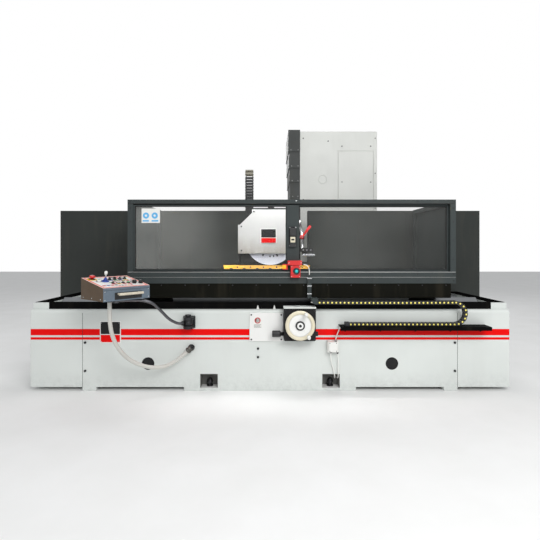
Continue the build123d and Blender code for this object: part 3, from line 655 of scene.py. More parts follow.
# ------------------------------------------------------------------ drag chains
def chain_link(width, length, height):
    """One link about the origin: X along the chain, Y across, Z thick. Returns (verts, faces, material)."""
    parts = bmesh.new()
    w, l, h = width / 2, length / 2, height / 2
    for s in (-1, 1):
        a, b = sorted((s * w, s * (w - 4)))
        put_box(parts, -l - 3, l - 5, a, b, -h, h, bevel=2.2, mat=0)
        a, b = sorted((s * (w - 4.4), s * (w - 7.5)))
        put_box(parts, l - 12, l + 6, a, b, -h * 0.72, h * 0.72, bevel=1.5, mat=0)
        m_ = frame_at(mm(-l + 6, s * w, 0), (0, s, 0))
        lathe(parts, [(7.0, -0.5), (7.0, 1.2), (6.0, 2.2), (0, 2.4)], m_, 16, mat=1)
    for s in (-1, 1):
        a, b = sorted((s * h, s * (h - 3)))
        put_box(parts, -l + 2, l - 8, -w + 1, w - 1, a, b, bevel=1.0, mat=0)
    parts.verts.index_update()
    out = ([v.co.copy() for v in parts.verts], [[v.index for v in f.verts] for f in parts.faces],
           [f.material_index for f in parts.faces], [f.smooth for f in parts.faces])
    parts.free()
    return out


def stamp(bm, link, matrix):
    vs = [bm.verts.new(matrix @ v) for v in link[0]]
    for idx, mat, sm in zip(link[1], link[2], link[3]):
        f = bm.faces.new([vs[i] for i in idx])
        f.material_index = mat
        f.smooth = sm


PITCH = 32.3
link = chain_link(45, PITCH, 27)


def table_link(x, z, angle):
    """Across is -Y, so that the marked side faces the operator."""
    t = Vector((math.cos(angle), 0, math.sin(angle)))
    y = Vector((0, 1, 0))
    m_ = Matrix((t, y, t.cross(y))).transposed().to_4x4()
    m_.translation = mm(x, -569.5, z)
    return m_


XC, ZC, RC = 1442.0, 629.0, 85.0
upper, bend, lower = bmesh.new(), bmesh.new(), bmesh.new()
n_up = int(round((XC - 380) / PITCH))
for i in range(n_up):
    sag = -2.0 * math.sin(math.pi * i / n_up) - 12.0 * (i / n_up) * 0
    stamp(upper, link, table_link(380 + PITCH * (i + 0.5), ZC + RC + sag, 0.0))
n_b = int(round(math.pi * RC / PITCH))
for i in range(n_b):
    a = math.pi / 2 - math.pi * (i + 0.5) / n_b
    stamp(bend, link, table_link(XC + RC * math.cos(a), ZC + RC * math.sin(a), a - math.pi / 2))
n_lo = int(round((XC - 618) / PITCH))
for i in range(n_lo):
    stamp(lower, link, table_link(XC - PITCH * (i + 0.5), ZC - RC, math.pi))
chain_mats = ["black_plastic", "chain_cap_yellow"]
o1 = add_mesh("chain_upper_run", upper, chain_mats, None)
o2 = add_mesh("chain_bend", bend, chain_mats, None)
o3 = add_mesh("chain_lower_run", lower, chain_mats, None)
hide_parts("table_chain")
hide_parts("table_chain")
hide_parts("table_chain")
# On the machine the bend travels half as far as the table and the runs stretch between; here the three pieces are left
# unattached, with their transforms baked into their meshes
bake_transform(o1)
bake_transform(o2)
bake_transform(o3)

# pale cone fitting where the chain leaves the table, and the tray's fixed clamp
bm = bmesh.new()
m_ = frame_at(mm(376, -569.5, 716), (-1, 0, 0))
lathe(bm, [(16, 0), (16, 8), (13.5, 14), (7, 48), (5, 54), (0, 54)], m_, 28, mat=0)
add_mesh("chain_end_cone", bm, "white_plastic", "table")
bm = bmesh.new()
put_box(bm, 585, 622, -594, -545, 529.2, 560, bevel=2, mat=0)
for x in (594, 610):
    cap_screw(bm, x, -569, 560, 4.5, 3.5, mat=0, direction=(0, 0, 1))
add_mesh("chain_fixed_clamp", bm, "dark_steel", "bed")

# upright chain of the wheelhead
YC2, ZC2, RC2 = 920.0, 1965.0, 56.0
hlink = chain_link(86, PITCH, 27)


def head_link(y, z, angle):
    """Chain in the YZ plane: angle 0 runs up."""
    t = Vector((0, math.sin(angle), math.cos(angle)))
    across = Vector((1, 0, 0))
    m_ = Matrix((t, across, t.cross(across))).transposed().to_4x4()
    m_.translation = mm(-234, y, z)
    return m_


front, top, rear = bmesh.new(), bmesh.new(), bmesh.new()
n1 = int((ZC2 - 1400) / PITCH)
for i in range(n1):
    stamp(front, hlink, head_link(YC2 - RC2, 1402 + PITCH * (i + 0.5), 0))
nb = int(round(math.pi * RC2 / PITCH))
for i in range(nb):
    a = math.pi - math.pi * (i + 0.5) / nb
    stamp(top, hlink, head_link(YC2 + RC2 * math.cos(a), ZC2 + RC2 * math.sin(a), math.pi / 2 - (a - math.pi / 2)))
n2 = int((ZC2 - 1252) / PITCH)
for i in range(n2):
    stamp(rear, hlink, head_link(YC2 + RC2, ZC2 - PITCH * (i + 0.5), math.pi))
M["beige_plastic"] = plastic("dusty_beige_plastic", (0.30, 0.28, 0.22), 0.55)
h1 = add_mesh("head_chain_front_leg", front, ["black_plastic", "black_plastic"], None)
h2 = add_mesh("head_chain_bend", top, ["beige_plastic", "black_plastic"], None)
h3 = add_mesh("head_chain_rear_leg", rear, ["black_plastic", "black_plastic"], None)
for h in (h1, h2, h3):
    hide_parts("head_chain")
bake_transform(h1)
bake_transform(h2)
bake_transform(h3)

# ------------------------------------------------------------------ cords
CONDUIT = [(-1143, -868, 757), (-1143, -868, 700), (-1146, -858, 610), (-1140, -832, 508),
           (-1112, -785, 400), (-1050, -725, 300), (-950, -660, 232), (-840, -606, 212),
           (-752, -562, 240), (-693, -540, 289), (-650, -540, 326)]
TRAY_LEAD = [(551, -540, 525), (548, -540, 498), (537, -536, 470), (526, -531, 440), (520, -528, 410)]
LEAD_A = [(482, -530, 305), (481, -529, 276), (484, -524, 244), (494, -519, 208), (504, -516, 172),
          (512, -514, 138), (518, -500, 110), (521, -472, 92), (523, -436, 84), (524, -400, 82)]
LEAD_B = [(535, -530, 305), (539, -529, 276), (543, -524, 244), (543, -519, 208), (541, -516, 172),
          (543, -513, 138), (545, -499, 108), (547, -470, 90), (546, -435, 83), (544, -400, 84)]
SWITCH_LEAD = [(262, -525, 1010), (282, -525, 1009), (300, -522, 998), (311, -517, 979),
               (314, -511, 953), (314, -509, 924)]

pts = route_points(CONDUIT)
bm = bmesh.new()
RIB = 0.0078


def ribbed(d, total):
    w = 0.5 + 0.5 * math.cos(2 * math.pi * d / RIB)
    return 0.0138 + 0.0013 * w ** 0.6


line = tube_mesh(bm, pts, ribbed, steps=24, spacing=0.0013)
conduit = add_mesh("ribbed_conduit", bm, "grey_plastic", None)
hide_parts("pendant_conduit")
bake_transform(conduit)

for name, route, r, body, slot_, mat in (("tray_lead_cord", TRAY_LEAD, 4, "bed", "white_plastic", "white_plastic"),
                                         ("pocket_lead_cord_left", LEAD_A, 4, "bed", "white_plastic", "white_plastic"),
                                         ("pocket_lead_cord_right", LEAD_B, 4, "bed", "white_plastic", "white_plastic"),
                                         ("switch_lead_cord", SWITCH_LEAD, 3.5, "table", "white_plastic", "white_plastic")):
    node = name.replace("_cord", "")
    o = polyline_nurbs(name, route, r)
    o.data.materials.append(M[mat])
    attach(o, body)
    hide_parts(node)
    run_length(route_points(route))

# threaded collars on the conduit's two fittings
bm = bmesh.new()
g = frame_at(mm(-1143, -868, 776), (0, 0, -1))
lathe(bm, [(27, 0), (27, 7), (25, 9), (21.5, 9), (21.5, 16), (19, 22), (16.4, 24)], g, 30, mat=0)
o = add_mesh("conduit_collar_top", bm, "dark_steel", "console")
bm = bmesh.new()
d = Vector((85, 0, 74)).normalized()
g = frame_at(mm(-650, -540, 326) + d * 0.004, -d)
lathe(bm, [(22, -36), (22, -6), (24.5, -6), (24.5, 2), (20, 6), (16.4, 9)], g, 30, mat=0)
add_mesh("conduit_collar_bottom", bm, "collar_alloy", "bed")

def matt_black():
    n = Nodes("matt_black_rubberised_sheet")
    col = n.ramp(n.noise(14, 5, 0.6), [(0.35, (0.002,) * 3), (0.75, (0.006,) * 3)])
    r = n.ramp(n.noise(30, 3), [(0.3, (0.85,) * 3), (0.7, (0.97,) * 3)])
    n.bump(n.noise(300, 3), strength=0.08, distance=0.0004, bevel=0.001)
    return n.done(col, r, 0.0, Specular_IOR_Level=0.0)


M["matt_black"] = matt_black()

# black caps on the end blocks of the bed
bm = bmesh.new()
for k in (-1, 1):
    put_box(bm, *sorted((k * 1787, k * 1910)), -440, 428, 697.8, 700.5, bevel=0.8)
add_mesh("end_block_caps", bm, "matt_black", "bed")



# ------------------------------------------------------------------ console
CU = Vector((math.cos(math.radians(50)), math.sin(math.radians(50)), 0))
CV = Vector((-CU.y, CU.x, 0))
CONSOLE = Matrix((CU, CV, Vector((0, 0, 1)))).transposed().to_4x4()
CONSOLE.translation = mm(-1115, -823, 0)
UP = (CV * 308 + Vector((0, 0, 57))).normalized()
UN = CU.cross(UP)
PANEL = Matrix((CU, UP, UN)).transposed().to_4x4()
PANEL.translation = CONSOLE @ mm(0, -154, 868)


def on_panel(u, v, h=0.0, turn=0.0):
    return PANEL @ Matrix.Translation(mm(u, v, h)) @ Matrix.Rotation(math.radians(turn), 4, "Z")


def console_material():
    """One enamelled box: white sloping panel with a red rim line. The front and the left side are one dark paint, shown
    blue-grey with painted cool light and warm tan with painted warm light; the grab bar is painted pale as a highlight.
    """
    n = Nodes("console_enamel_areas")

    def along(axis, origin):
        d = n.new("ShaderNodeVectorMath", operation="SUBTRACT")
        n.link(n.co, d.inputs[0])
        d.inputs[1].default_value = tuple(origin)
        e = n.new("ShaderNodeVectorMath", operation="DOT_PRODUCT")
        n.link(d.outputs["Vector"], e.inputs[0])
        e.inputs[1].default_value = tuple(axis)
        return e.outputs["Value"]

    def step(a, edge, over=True):
        return n.math("GREATER_THAN" if over else "LESS_THAN", a, edge)

    u = along(CU, PANEL.translation)
    v = along(UP, PANEL.translation)
    h = along(UN, PANEL.translation)
    y = along(CV, CONSOLE.translation)
    wear = n.ramp(n.noise(30, 5, 0.6), [(0.35, (0.86,) * 3), (0.7, (1.02,) * 3)])
    # front and left side: one dark paint, with painted cool light on the front (blue-grey) and painted warm light on
    # the side
    blue = n.mix(1.0, (0.13, 0.17, 0.215), wear, "MULTIPLY")
    white = n.mix(1.0, (0.86, 0.85, 0.83), wear, "MULTIPLY")
    warm_lit_side = n.mix(1.0, (0.085, 0.046, 0.016), wear, "MULTIPLY")
    # grab bar: pale colour as a painted highlight on a black handle
    bar_highlight = n.mix(1.0, (0.66, 0.60, 0.48), wear, "MULTIPLY")
    au = n.math("ABSOLUTE", u)
    av = n.math("ABSOLUTE", n.math("SUBTRACT", v, 0.1566))
    rim = n.math("MAXIMUM", n.math("SUBTRACT", au, 0.180), n.math("SUBTRACT", av, 0.1566))
    line = n.math("MULTIPLY", step(rim, -0.0200), step(rim, -0.0080, False))
    top = n.mix(line, white, (0.86, 0.13, 0.08))
    edge = step(rim, -0.003)
    top = n.mix(edge, top, (0.75, 0.34, 0.28))
    col = n.mix(step(u, -0.1792, False), blue, warm_lit_side)
    col = n.mix(step(y, -0.1555, False), col, bar_highlight)
    col = n.mix(step(h, -0.0006), col, top)
    r = n.ramp(n.noise(9, 4), [(0.3, (0.34,) * 3), (0.75, (0.50,) * 3)])
    n.bump(n.noise(500, 3), strength=0.12, distance=0.0005, bevel=0.0012)
    return n.done(col, r, 0.0)


M["console_areas"] = console_material()
NODES["console_box"].data.materials.clear()
NODES["console_box"].data.materials.append(M["console_areas"])

# recess behind the grab bar, seams, screws and legend strips of the console
bm = bmesh.new()
put_box(bm, -96, 114, -155.6, -153.8, 783, 832, bevel=0.7, mat=0, matrix=CONSOLE)
put_box(bm, -176, 176, -154.6, -153.8, 849, 851, bevel=0.2, mat=0, matrix=CONSOLE)
for x, z in ((-168, 785), (168, 785), (-168, 842), (168, 842)):
    g = CONSOLE @ Matrix.Translation(mm(x, -153.8, z)) @ Matrix.Rotation(math.radians(90), 4, "X")
    lathe(bm, [(4.2, 0), (4.2, 1.8), (3.4, 2.6), (0, 2.6)], g, 16, mat=1, smooth=False)
for y in (-120, 0, 120):
    g = CONSOLE @ Matrix.Translation(mm(-179.8, y, 790)) @ Matrix.Rotation(math.radians(-90), 4, "Y")
    lathe(bm, [(4.2, 0), (4.2, 1.8), (3.4, 2.6), (0, 2.6)], g, 16, mat=1, smooth=False)
    g = CONSOLE @ Matrix.Translation(mm(179.8, y, 790)) @ Matrix.Rotation(math.radians(90), 4, "Y")
    lathe(bm, [(4.2, 0), (4.2, 1.8), (3.4, 2.6), (0, 2.6)], g, 16, mat=1, smooth=False)
for k in range(7):
    put_box(bm, -60 + 20 * k, -48 + 20 * k, 153.8, 155.2, 800, 840, bevel=0.5, mat=0, matrix=CONSOLE)
add_mesh("console_box_details", bm, ["black_plastic", "bright_steel"], "console")

# legend plates beside the controls: plain blocks of colour, no letters
bm = bmesh.new()
PUSH = [(-46, 116), (-8, 112), (30, 108), (68, 104)]
SELECT = [(-18, 214), (22, 214), (62, 214), (102, 214)]
KNOBS = [(104, 82), (149, 72)]
for i, (u, v) in enumerate(PUSH):
    put_box(bm, u - 15, u + 15, v - 31, v - 13, 0.0, 1.2, bevel=0.4, mat=(0, 1, 0, 0)[i], matrix=PANEL)
    put_box(bm, u - 10, u + 10, v - 26, v - 18, 1.0, 1.7, bevel=0.3, mat=2, matrix=PANEL)
    put_box(bm, u - 15, u + 15, v + 13, v + 24, 0.0, 1.2, bevel=0.4, mat=(3, 0, 3, 4)[i], matrix=PANEL)
for i, (u, v) in enumerate(SELECT):
    put_box(bm, u - 16, u + 16, v + 17, v + 27, 0.0, 1.2, bevel=0.4, mat=(0, 2, 0, 2)[i], matrix=PANEL)
    put_box(bm, u - 16, u + 16, v - 27, v - 17, 0.0, 1.2, bevel=0.4, mat=(5, 3, 5, 4)[i], matrix=PANEL)
for i in range(5):
    put_box(bm, -20 + 36 * i, 6 + 36 * i, 156, 178, 0.0, 1.4, bevel=0.5, mat=(2, 0, 2, 0, 2)[i], matrix=PANEL)
    put_box(bm, -14 + 36 * i, 0 + 36 * i, 161, 173, 1.2, 2.0, bevel=0.4, mat=(0, 3, 4, 2, 0)[i], matrix=PANEL)
for i in range(4):
    put_box(bm, -150 + 30 * i, -128 + 30 * i, 52, 70, 0.0, 1.2, bevel=0.4, mat=(0, 5, 0, 2)[i], matrix=PANEL)
for i in range(9):
    put_box(bm, -40 + 23 * i, -26 + 23 * i, 38 if i < 5 else 118, 50 if i < 5 else 136, 0.0, 1.3, bevel=0.4,
            mat=(0, 2, 0, 1, 0, 0, 2, 0, 2)[i], matrix=PANEL)
for i in range(4):
    put_box(bm, 20 + 38 * i, 46 + 38 * i, 264, 282, 0.0, 1.6, bevel=0.5, mat=(2, 0, 2, 3)[i], matrix=PANEL)
add_mesh("console_legend_plates", bm, ["red_plastic", "orange_paint", "black_plastic", "green_plastic", "yellow_plastic",
                                       "blue_plastic"], "console")

# emergency stop: yellow plate, black base, red mushroom
bm = bmesh.new()
lathe(bm, [(34, 0), (34, 1.6), (33, 2.2), (12.5, 2.2), (12.5, 0)], on_panel(-131, 250), 48, mat=0, smooth=False)
lathe(bm, [(24, 2), (24, 4), (22.5, 5), (12.5, 5), (12.5, 2)], on_panel(-131, 250), 40, mat=1)
add_mesh("estop_base", bm, ["yellow_plastic", "black_plastic"], "console")
bm = bmesh.new()
lathe(bm, [(0, -8), (10.5, -8), (10.5, 12), (15, 13.5), (20, 16), (21, 19), (20.6, 23), (18, 27), (13, 29.3), (6, 30), (0, 30)],
      on_panel(-131, 250), 48)
for i in range(3):
    put_box(bm, -9, 9, 9.5, 11.5, 29.6, 30.4, bevel=0.3, mat=1, matrix=on_panel(-131, 250, 0, 120 * i))
o = add_mesh("estop_mushroom", bm, ["red_plastic", "white_plastic"], "estop_button")
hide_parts("estop_button")

# start button with its bezel
bm = bmesh.new()
lathe(bm, [(21, 0), (21, 3), (18.5, 5.5), (15, 5.5), (15, 0)], on_panel(-116, 180), 40, mat=0)
put_box(bm, -26, 26, 22, 34, 0, 1.4, bevel=0.4, mat=1, matrix=on_panel(-116, 180))
add_mesh("start_bezel", bm, ["bright_steel", "white_plastic"], "console")
bm = bmesh.new()
lathe(bm, [(0, -8), (13.6, -8), (13.6, 13), (12.6, 15.5), (9.6, 16), (9.6, 14.6), (0, 14.6)], on_panel(-116, 180), 40, mat=0)
lathe(bm, [(0, 14.4), (9.2, 14.4), (9.2, 15.4), (0, 16)], on_panel(-116, 180), 32, mat=1)
o = add_mesh("start_cap", bm, ["white_plastic", "green_plastic"], "start_button")
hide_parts("start_button")

# joystick: blue collar, folded boot, steel stem, white ball grip
bm = bmesh.new()
lathe(bm, [(27, 0), (27, 4), (24, 7), (17, 7), (17, 0)], on_panel(-72, 174), 40, mat=0)
add_mesh("joystick_collar", bm, ["blue_plastic"], "console")
bm = bmesh.new()
boot = [(0, -2), (13, -2), (13.4, 4), (14.6, 8), (11.4, 11), (13.2, 14), (9.8, 17), (11.2, 20), (8.2, 23), (9, 26), (5.4, 29),
        (0, 29)]
lathe(bm, boot, on_panel(-72, 174), 36, mat=0)
lathe(bm, [(0, 28), (4.6, 28), (4.6, 54), (0, 54)], on_panel(-72, 174), 24, mat=1)
lathe(bm, [(0, 50), (7.5, 50), (9, 53), (11, 60), (11.4, 66), (9.6, 72), (6, 76), (0, 77)], on_panel(-72, 174), 36, mat=2)
o = add_mesh("joystick_grip", bm, ["blue_plastic", "bright_steel", "white_plastic"], "joystick")
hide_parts("joystick")

# four push buttons: bezels stay, caps travel
bm = bmesh.new()
for u, v in PUSH:
    lathe(bm, [(13, 0), (13, 2.6), (11.5, 4.2), (9, 4.2), (9, 0)], on_panel(u, v), 32, mat=0)
add_mesh("push_button_bezels", bm, ["dark_steel"], "console")
bm = bmesh.new()
for i, (u, v) in enumerate(PUSH):
    lathe(bm, [(0, -8), (7.8, -8), (7.8, 7.6), (7.0, 9), (4.5, 8.5), (0, 8.3)], on_panel(u, v), 32, mat=(0, 1, 0, 2)[i])
o = add_mesh("push_button_caps", bm, ["black_plastic", "white_plastic", "green_plastic"], "push_buttons")
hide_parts("push_buttons")

# override knobs: fluted, with a pointer line, over a tick ring
bm = bmesh.new()
for u, v in KNOBS:
    for k in range(11):
        a = 225 - 27 * k
        put_box(bm, 18.6, 22.5, -0.5, 0.5, 0, 0.7, bevel=0, mat=0, matrix=on_panel(u, v, 0, a))
add_mesh("knob_tick_rings", bm, ["black_plastic"], "console")


def fluted_knob(bm, m_, r, h, flutes=14, mat=0, line=1):
    ring = []
    n = flutes * 6
    for zz, k in ((0.0, 1.0), (h * 0.82, 0.96), (h * 0.96, 0.88), (h, 0.78)):
        row = []
        for i in range(n):
            a = 2 * math.pi * i / n
            rr = r * k * (1 - 0.07 * max(0.0, math.cos(flutes * a)) ** 2)
            row.append(bm.verts.new(m_ @ mm(rr * math.cos(a), rr * math.sin(a), zz)))
        ring.append(row)
    for a, b in zip(ring, ring[1:]):
        for i in range(n):
            j = (i + 1) % n
            f = bm.faces.new((a[i], a[j], b[j], b[i]))
            f.material_index = mat
            f.smooth = True
    for row in (ring[0], ring[-1]):
        bm.faces.new(row).material_index = mat
    put_box(bm, -1.1, 1.1, r * 0.2, r * 0.76, h - 0.2, h + 0.7, bevel=0.2, mat=line, matrix=m_)


for side, (u, v) in zip(("left", "right"), KNOBS):
    bm = bmesh.new()
    lathe(bm, [(0, -10), (5.8, -10), (5.8, 3), (0, 3)], on_panel(u, v), 20, mat=0)
    fluted_knob(bm, on_panel(u, v, 2), 16, 22)
    o = add_mesh("override_knob_%s_fluted" % side, bm, ["black_plastic", "white_plastic"], "override_knob_" + side)
    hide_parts("override_knob_" + side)

# four selectors with bezels and handles
bm = bmesh.new()
for i, (u, v) in enumerate(SELECT):
    lathe(bm, [(15, 0), (15, 3), (13, 5), (10.6, 5), (10.6, 8), (9.8, 10), (0, 10)], on_panel(u, v), 32, mat=0)
    put_box(bm, -3.2, 3.2, -10, 10, 9, 20, bevel=1.4, mat=0, matrix=on_panel(u, v, 0, (0, 45, -45, 0)[i]))
    put_box(bm, -0.8, 0.8, 2, 9.2, 19.8, 20.5, bevel=0.2, mat=1, matrix=on_panel(u, v, 0, (0, 45, -45, 0)[i]))
o = add_mesh("selector_handles", bm, ["black_plastic", "white_plastic"], "console")
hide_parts("selector_switches")

# clamp rings where the arm turns, and bolts of its bracket
bm = bmesh.new()
lathe(bm, [(24, 0), (24, 10), (22, 12), (0, 12)], frame_at(mm(-643, -560, 604), (0, 0, 1)), 32, mat=0)
for x in (-682, -604):
    for z in (514, 587):
        cap_screw(bm, x, -521.8, z, 4.2, 3.6, mat=0)
for k in range(8):
    put_box(bm, -688 + 11.4 * k, -683 + 11.4 * k, -519, -503, 595.8, 601, bevel=0.8, mat=0)
add_mesh("pivot_block_details", bm, ["dark_steel"], "bed")

bm = bmesh.new()
lathe(bm, [(36, 0), (36, 6), (33, 9), (20, 9), (20, 0)], frame_at(mm(-643, -560, 563), (0, 0, 1)), 36, mat=0)
lathe(bm, [(17, -8), (17, 12), (14.6, 16), (11.4, 16), (11.4, -8)], frame_at(mm(-676, -582, 551.3), (-0.82, -0.57, 0.03)), 30, mat=0)
lathe(bm, [(33.5, 0), (33.5, 42.6), (31, 42.6), (31, 0)], frame_at(mm(-643, -560, 529.8), (0, 0, 1)), 36, mat=0)
add_mesh("arm_hub_cap", bm, ["dark_steel"], "console_arm")
for name in ("console_arm",):
    NODES[name].data.materials.clear()
    NODES[name].data.materials.append(M["arm_steel"])

# black bolts, black plates over the square slots as painted shade in them, and packing blocks of the orange fixture
bm = bmesh.new()
for x in (-368, -245, -122.6, 0, 122, 245):
    # black plate over each square slot: painted shade inside the slot
    put_box(bm, x - 12, x + 12, 98.6, 100.4, 940, 953, bevel=0.6, mat=0)
    cap_screw(bm, x + 61, 100.2, 962, 7.5, 4.5, mat=0)
for x in (-390, -190, 10, 210, 330):
    m_ = frame_at(mm(x, 172, 897.8), (0, 0, 1))
    lathe(bm, [(14, 0), (14, 3), (9, 3), (9, 12), (8, 13), (4, 13), (4, 6), (0, 6)], m_, 20, mat=1, smooth=False)
    put_box(bm, x - 4, x + 4, 140, 196, 898, 930, bevel=2.0, mat=2)
add_mesh("fixture_bolts_and_slot_shade", bm, ["black_plastic", "dark_steel", "orange_paint"], "table")

# ------------------------------------------------------------------ enclosure
bm = bmesh.new()
for z0, z1 in ((944.5, 949.5), (904.5, 907.5)):
    put_box(bm, -1138, 162 if z0 < 950 else 138, -502, -499.6 + (2.5 if z0 < 950 else 0), z0, z1, bevel=0.6, mat=0)
    put_box(bm, 242 if z0 < 950 else 254, 1486, -502, -499.6 + (2.5 if z0 < 950 else 0), z0, z1, bevel=0.6, mat=0)
for x in (-1120, -760, -380, 0, 460, 820, 1180, 1470):
    for z in (880, 932, 1511):
        cap_screw(bm, x, -499.8, z, 5.0, 2.6, mat=1, socket=False)
for x in (-1118, 1466):
    for z in (1050, 1200, 1350, 1460):
        cap_screw(bm, x, -499.8, z, 5.0, 2.6, mat=1, socket=False)
cap_screw(bm, 209, -499.8, 1517, 5.4, 3.0, mat=2, socket=False)
put_box(bm, -1138, 1486, -500.8, -499.7, 1494, 1498, bevel=0.3, mat=3)
add_mesh("enclosure_trim", bm, ["edge_metal", "dark_steel", "bright_steel", "rubber"], "table")


def gasket(name, body, x0, x1, z0, z1, y0, y1, ym):
    """Black channel round a window, inside the frame on both faces of the pane."""
    bm = bmesh.new()
    for ya, yb in ((ym - 5.5, ym - 3.1), (ym + 3.1, ym + 5.5)):
        w = 6.5
        put_box(bm, x0, x1, ya, yb, z0, z0 + w, bevel=0.8)
        put_box(bm, x0, x1, ya, yb, z1 - w, z1, bevel=0.8)
        put_box(bm, x0, x0 + w, ya, yb, z0 + w, z1 - w, bevel=0.8)
        put_box(bm, x1 - w, x1, ya, yb, z0 + w, z1 - w, bevel=0.8)
    return add_mesh(name, bm, "rubber", body)


gasket("left_window_gasket", "left_door", -1082.5, 132, 966, 1477, -497, -474, -485.5)
gasket("right_window_gasket", "right_door", 232, 1430.5, 966, 1477, -466, -443, -454.5)

# latch on the left door, notice card inside its pane
bm = bmesh.new()
put_box(bm, 152, 212, -505, -502.8, 1153, 1311, bevel=1.2, mat=0)
put_box(bm, 163, 201, -518.5, -515.6, 1184, 1228, bevel=1.2, mat=1)
put_box(bm, 170, 194, -520, -518, 1200, 1213, bevel=0.8, mat=0)
for z0, z1 in ((1238, 1296), (1150, 1176)):
    put_box(bm, 157, 207, -529, -524.5, z0 - 2, z1 + 2, bevel=2.0, mat=2)
for x in (158, 206):
    for z in (1160, 1304):
        cap_screw(bm, x, -504.8, z, 3.6, 2.0, mat=3, socket=False)
add_mesh("latch_details", bm, ["dark_box_paint", "cream_plastic", "black_plastic", "bright_steel"], "left_door")
bm = bmesh.new()
put_box(bm, -1031, -883, -489.6, -488.6, 1341, 1457, bevel=0.4, mat=0)
for x, z in ((-995, 1400), (-925, 1400)):
    g = at_front(x, -489.6, z)
    lathe(bm, [(0, 0), (25, 0), (25, 0.6), (0, 0.6)], g, 40, mat=1, smooth=False)
    lathe(bm, [(0, 0.5), (9, 0.5), (9, 1.1), (0, 1.1)], g, 32, mat=0, smooth=False)
put_box(bm, -1022, -972, -490.3, -489.4, 1352, 1364, bevel=0.2, mat=1)
put_box(bm, -950, -896, -490.3, -489.4, 1352, 1364, bevel=0.2, mat=1)
add_mesh("window_card", bm, ["white_plastic", "light_blue_film"], "left_door")

# door switch: dark ring, lens, gland
bm = bmesh.new()
lathe(bm, [(27, 0), (27, 3), (24, 5), (15.4, 5), (15.4, 0)], at_front(209, -546, 957), 40, mat=0)
for x in (171, 233):
    for z in (914, 993):
        cap_screw(bm, x, -545.8, z, 3.4, 1.8, mat=1, socket=False)
for x in (148, 244):
    cap_screw(bm, x, -551.8, 1022, 3.6, 1.8, mat=1, socket=False)
put_box(bm, 165, 239, -546.8, -545.6, 927, 929, bevel=0.2, mat=0)
lathe(bm, [(9, 0), (9, 8), (7.2, 12), (4.4, 16), (0, 16)], frame_at(mm(250, -525, 1010), (1, 0, 0)), 24, mat=0)
put_box(bm, 100, 140, -530, -501, 968, 1012, bevel=2.5, mat=2)
put_box(bm, 96, 128, -536, -529, 976, 1004, bevel=1.6, mat=3)
put_box(bm, 128, 141, -528, -504, 1006, 1026, bevel=1.5, mat=0)
add_mesh("door_switch_details", bm, ["black_plastic", "bright_steel", "red_plastic", "orange_paint"], "table")
bm = bmesh.new()
lathe(bm, [(0, 0), (12.6, 0), (12.6, 3.2), (9, 5.6), (4, 6.6), (0, 6.8)], at_front(209, -546, 957), 32)
lathe(bm, [(0, -14), (12.4, -14), (12.4, 0.2), (0, 0.2)], at_front(209, -546, 957), 32)
o = add_mesh("switch_lens", bm, "teal_plastic", "switch_plunger")
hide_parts("switch_button")

# duct between the switch lead and the cable chain, trough bolts, corner welds and drain
bm = bmesh.new()
put_box(bm, 300, 328, -517, -496, 742, 926, bevel=2.0, mat=0)
for z in (770, 832, 894):
    put_box(bm, 296, 332, -519, -495.4, z, z + 9, bevel=1.0, mat=1)
add_mesh("lead_duct", bm, ["frame_paint", "bright_steel"], "table")
bm = bmesh.new()
for k in range(14):
    cap_screw(bm, -1060 + 190 * k, -494.8, 842, 5.5, 3, mat=0)
for x in (-1098, -320, 460, 1446):
    put_box(bm, x - 2.5, x + 2.5, -497, -494.6, 744, 855, bevel=0.8, mat=1)
put_box(bm, -1098, 1446, -497.5, -494.6, 744, 748, bevel=0.8, mat=1)
add_mesh("trough_details", bm, ["dark_steel", "trough_paint"], "table")

# ------------------------------------------------------------------ wheel, guard and coolant valve
bm = bmesh.new()
c = mm(0, 0, 1211)
for k in range(28):
    if k in (6, 13, 20, 27):
        continue
    g = frame_at(c + mm(0, 9.9, 0), FRONT, (1, 0, 0)) @ Matrix.Rotation(2 * math.pi * k / 28, 4, "Z")
    put_box(bm, 138, 152 + 5 * (k % 3), -5 - 2 * (k % 2), 5 + 2 * (k % 2), -0.1, 0.7, bevel=0, mat=0, matrix=g)
lathe(bm, [(95, -0.4), (95, 1.4), (93, 2.0), (88, 2.0), (88, -0.4)], frame_at(c + mm(0, 9.6, 0), FRONT), 64, mat=1)
for k in range(8):
    g = frame_at(c + mm(0, -0.2, 0), FRONT, (1, 0, 0)) @ Matrix.Rotation(2 * math.pi * (k + 0.5) / 8, 4, "Z") @ \
        Matrix.Translation(mm(76, 0, 0))
    lathe(bm, [(7, -1), (7, 3.2), (6, 4), (3.4, 4), (3.4, 1), (0, 1)], g, 16, mat=2, smooth=False)
add_mesh("wheel_marks", bm, ["black_plastic", "cream_plastic", "dark_steel"], "spindle")

bm = bmesh.new()
put_box(bm, -86, 59, -47.6, -44.8, 1183, 1319, bevel=1.6, mat=0)
put_box(bm, -80, 53, -48.8, -47.4, 1238, 1313, bevel=0.8, mat=1)
put_box(bm, -80, 53, -48.8, -47.4, 1189, 1232, bevel=0.8, mat=2)
for x in (-74, 47):
    for z in (1195, 1307):
        cap_screw(bm, x, -48.6, z, 3.0, 1.4, mat=3, socket=False)
for x, z in ((-259, 1338), (-259, 1120), (244, 1474), (244, 1110), (-146, 1474)):
    cap_screw(bm, x, -49.6, z, 7.4, 3.4, mat=4)
put_box(bm, -262, 262, 108, 124.4, 1006, 1074, bevel=1.0, mat=1)
put_box(bm, -275, 260, -47.4, -44.8, 1092.5, 1097, bevel=0.8, mat=5)
for x in (-258, 246):
    put_box(bm, x - 10, x + 10, -30, -21, 1060, 1092, bevel=1.5, mat=1)
add_mesh("guard_cover_details", bm, ["white_plastic", "dark_box_paint", "stripe_red", "bright_steel", "dark_steel",
                                     "guard_cover_paint"], "head")

